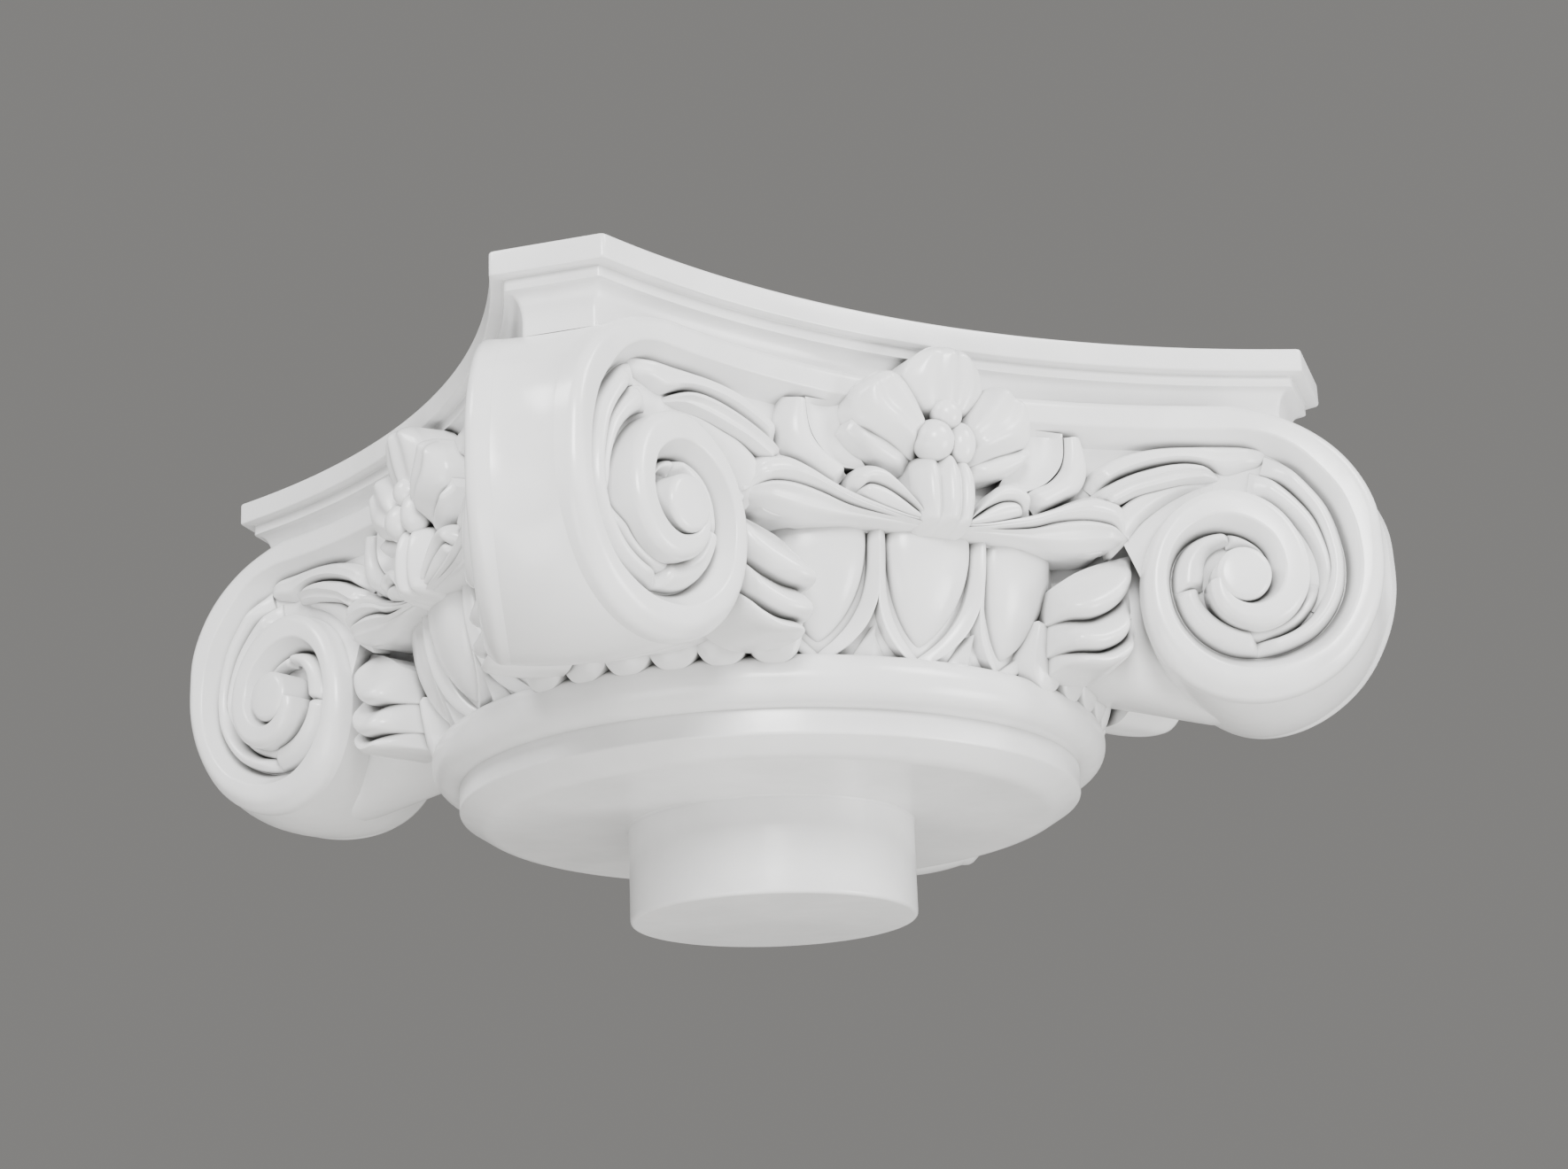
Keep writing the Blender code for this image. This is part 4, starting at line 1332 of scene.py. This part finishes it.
@dataclass
class EggAndDart:
    """Eggs with their pointed frames, and small darts between the frames."""

    finish: bpy.types.Material
    bowl: BowlGround
    pitch: float = 18.0
    egg_half: float = 7.55
    egg_top: float = 121.0
    egg_tip: float = 79.5
    egg_rise: float = 8.5
    egg_base: float = -0.5
    frame_rise: float = 1.0
    frame_sink: float = 10.0
    covered: int = 3
    frame_inner: Edge = ((7.5, 124, 2.0), (7.5, 110, 2.0), (7.35, 102, 2.0), (6.7, 94, 2.0),
                         (5.1, 86.5, 1.8), (2.8, 80.5, 1.4), (-0.3, 75.0, 0.8))
    frame_outer: Edge = ((9.06, 124, 6.4), (9.06, 110, 6.4), (9.06, 99, 6.4), (8.8, 92, 6.2),
                         (7.4, 84, 5.6), (4.5, 77, 4.6), (-0.3, 70.3, 3.2))
    dart_top: float = 85.0
    dart_tall: float = 12.0
    dart_tip: float = 0.15
    dart_spread: float = 3.3
    dart_base: float = 0.5
    dart_ridge: float = 5.0

    def lay_slab(self, shell: Shell, turn: Array, z: Array, relief: Array, sink: float) -> None:
        """Add a slab on the bowl, its underside at an even depth.

        Args:
            shell: where it goes.
            turn: angles in degrees.
            z: heights.
            relief: relief of the upper side.
            sink: depth of the underside.
        """
        over = np.stack(np.broadcast_arrays(turn, z, relief), axis=-1)
        under = np.stack(np.broadcast_arrays(turn, z, -sink), axis=-1)
        shell.add_slab(self.bowl.lay(over), self.bowl.lay(under))

    def egg(self, shell: Shell, middle: float) -> None:
        """Add an egg: straight-sided above and pointed below.

        The half width is (1 - t^2.6)^0.75 of the full one and the crest is
        (1 - t^3)^0.5 of the full rise, for share t of the way to the tip; the
        section across is (1 - |v|^2.6)^0.45, a full, flattened round.

        Args:
            shell: where it goes.
            middle: angle of its middle.
        """
        t = np.linspace(0.0, 0.995, 40)[:, None]
        v = np.sin(np.linspace(-0.5, 0.5, 27) * math.pi)[None, :]
        half = self.egg_half * (1.0 - t ** 2.6) ** 0.75
        crest = self.egg_rise * (1.0 - t ** 3.0) ** 0.5
        z = self.egg_top + (self.egg_tip - self.egg_top) * t
        full = np.maximum(1.0 - np.abs(v) ** 2.6, 0.0) ** 0.45
        self.lay_slab(shell, middle + half * v, z, crest * full + self.egg_base, 6.0)

    def frame(self, shell: Shell, middle: float) -> None:
        """Add the raised frame that hangs round an egg like a pointed shield.

        Each half is a leaf between the line beside the egg and the outer line,
        highest at the outer one; the halves meet in a point below. The half that
        the palmette covers starts lower, by a few of the edges' points.

        Args:
            shell: where it goes.
            middle: angle of the egg's middle.
        """
        for side in (-1, 1):
            first = self.covered if side * middle > 0.0 else 0
            outer, inner = [tuple((middle + side * a, z, d) for a, z, d in edge[first:])
                            for edge in (self.frame_outer, self.frame_inner)]
            half = Leaf(outer, inner, self.frame_rise, sink=self.frame_sink,
                        ends=(0.3 if first else 0.0, 0.12))
            half.carve(shell, self.bowl)

    def dart(self, shell: Shell, middle: float) -> None:
        """Add the small triangle between two frames' points, ridged down its middle.

        Args:
            shell: where it goes.
            middle: angle of its middle.
        """
        t = np.linspace(0.0, 1.0, 12)[:, None]
        v = np.linspace(-1.0, 1.0, 13)[None, :]
        half = self.dart_tip + self.dart_spread * t
        relief = self.dart_base + self.dart_ridge * (1.0 - np.abs(v))
        self.lay_slab(shell, middle + half * v, self.dart_top - self.dart_tall * t, relief, 5.0)

    def build(self) -> list[bpy.types.Object]:
        """Make the eggs of all faces and, as a second piece, their frames and darts.

        Returns:
            The two pieces.
        """
        eggs, frames = Shell(), Shell()
        for k in (-1, 0, 1):
            self.egg(eggs, k * self.pitch)
            self.frame(frames, k * self.pitch)
        for side in (-0.5, 0.5):
            self.dart(frames, side * self.pitch)
        return [eggs.quartered().to_object("eggs", self.finish),
                frames.quartered().to_object("egg_frames", self.finish)]


@dataclass(frozen=True)
class SoftLight:
    """Square soft light: its place and side in metres and its power in watts."""

    name: str
    place: tuple[float, float, float]
    size: float
    power: float

    def hang(self, aim: Sequence[float]) -> None:
        """Hang the light so that it faces a point.

        Args:
            aim: the point, in metres.
        """
        lamp = bpy.data.lights.new(self.name, "AREA")
        lamp.size = self.size
        lamp.energy = self.power
        item = bpy.data.objects.new(self.name, lamp)
        back = np.asarray(self.place, float) - np.asarray(aim, float)
        back /= np.linalg.norm(back)
        side = np.cross((0.0, 0.0, 1.0), back)
        side /= np.linalg.norm(side)
        item.matrix_world = placed(np.column_stack([side, np.cross(back, side), back]), self.place)
        bpy.context.scene.collection.objects.link(item)


def placed(axes: Array, place: Sequence[float]) -> Matrix:
    """Matrix of an object with the given axes, as columns, at a place."""
    return Matrix(np.vstack([np.column_stack([axes, place]), (0.0, 0.0, 0.0, 1.0)]).tolist())


@dataclass
class Studio:
    """Plain pale floor, soft lights, even grey surround and the camera.

    The camera's place is in metres. It looks along +Y, turned about the axis by the
    turn, and then by yaw to the side, lift above the level and roll about the line
    of sight, in radians. The focal length counts the photograph's pixels.
    """

    floor_z: float = -0.62
    floor_half: float = 3.0
    surround: str = "848381"
    aim: tuple[float, float, float] = (0.0, 0.0, 0.11)
    lights: tuple[SoftLight, ...] = (
        SoftLight("front_light", (-0.70, -1.55, 0.61), 0.5, 41.0),
        SoftLight("left_light", (-1.39, -0.08, 1.21), 0.6, 25.0),
        SoftLight("right_light", (0.76, -1.17, 1.21), 0.6, 28.0),
        SoftLight("low_light_right", (0.85, -1.0, -0.35), 0.5, 15.0),
        SoftLight("low_light_left", (-0.95, -0.55, -0.38), 0.5, 5.0))
    camera_place: tuple[float, float, float] = (-0.5389, -1.0660, -0.2280)
    turn_degrees: float = -26.817
    yaw: float = 0.00724
    lift: float = 0.29933
    roll: float = -0.0360
    focal_pixels: float = 3415.0
    photo_pixels: float = 1770.0
    sensor_mm: float = 36.0

    def floor(self) -> None:
        """Lay a large pale floor below the view and stage it."""
        mesh = bpy.data.meshes.new("studio_floor")
        corners = [(c * self.floor_half, s * self.floor_half, self.floor_z)
                   for c, s in ((-1, -1), (1, -1), (1, 1), (-1, 1))]
        mesh.from_pydata(corners, [], [(0, 1, 2, 3)])
        mesh.materials.append(PaperSweep().make())
        sheet = bpy.data.objects.new("studio_floor", mesh)
        bpy.context.scene.collection.objects.link(sheet)

    def camera(self) -> None:
        """Place the camera where the photograph was taken from."""
        lens = bpy.data.cameras.new("view_camera")
        lens.sensor_width = self.sensor_mm
        lens.lens = self.focal_pixels / self.photo_pixels * self.sensor_mm
        lens.clip_end = 20.0
        turn = math.radians(self.turn_degrees)
        ahead = np.array([math.sin(self.yaw) * math.cos(self.lift),
                          math.cos(self.yaw) * math.cos(self.lift), math.sin(self.lift)])
        right = np.array([math.cos(self.yaw), -math.sin(self.yaw), 0.0])
        up = np.cross(right, ahead)
        rolled = math.cos(self.roll) * right + math.sin(self.roll) * up
        tall = -math.sin(self.roll) * right + math.cos(self.roll) * up
        spin = np.array([[math.cos(turn), -math.sin(turn), 0.0],
                         [math.sin(turn), math.cos(turn), 0.0], [0.0, 0.0, 1.0]])
        item = bpy.data.objects.new("view_camera", lens)
        item.matrix_world = placed(spin @ np.column_stack([rolled, tall, -ahead]),
                                   self.camera_place)
        bpy.context.scene.collection.objects.link(item)
        bpy.context.scene.camera = item

    def build(self) -> None:
        """Set the whole stage."""
        self.floor()
        world = bpy.data.worlds.new("studio_surround")
        world.use_nodes = True
        back = world.node_tree.nodes["Background"]
        back.inputs["Color"].default_value = hex_linear(self.surround)
        back.inputs["Strength"].default_value = 1.0
        bpy.context.scene.world = world
        for light in self.lights:
            light.hang(self.aim)
        self.camera()


def main() -> None:
    """Build the capital's pieces in order and dress the stage."""
    logging.basicConfig(level=logging.INFO, format="%(name)s %(message)s")
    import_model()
    foam = CastFoam().make()
    face = FaceGround()
    bowl = BowlGround()
    volute = Volute(face)
    pieces = [TurnedCore(foam, bowl).build(), Abacus(foam).build(), FriezeBed(foam, face).build(),
              VoluteRibbons(foam, volute).build(), CornerScrolls(foam, volute).build(),
              VoluteLeaves(foam, volute).build(), Acanthus(foam, face).build(),
              Palmettes(foam, face, bowl).build(), Flowers(foam, face).build()]
    pieces += EggAndDart(foam, bowl).build()
    for piece in pieces:
        hand_over(piece)
    Studio().build()


if __name__ == "__main__":
    main()
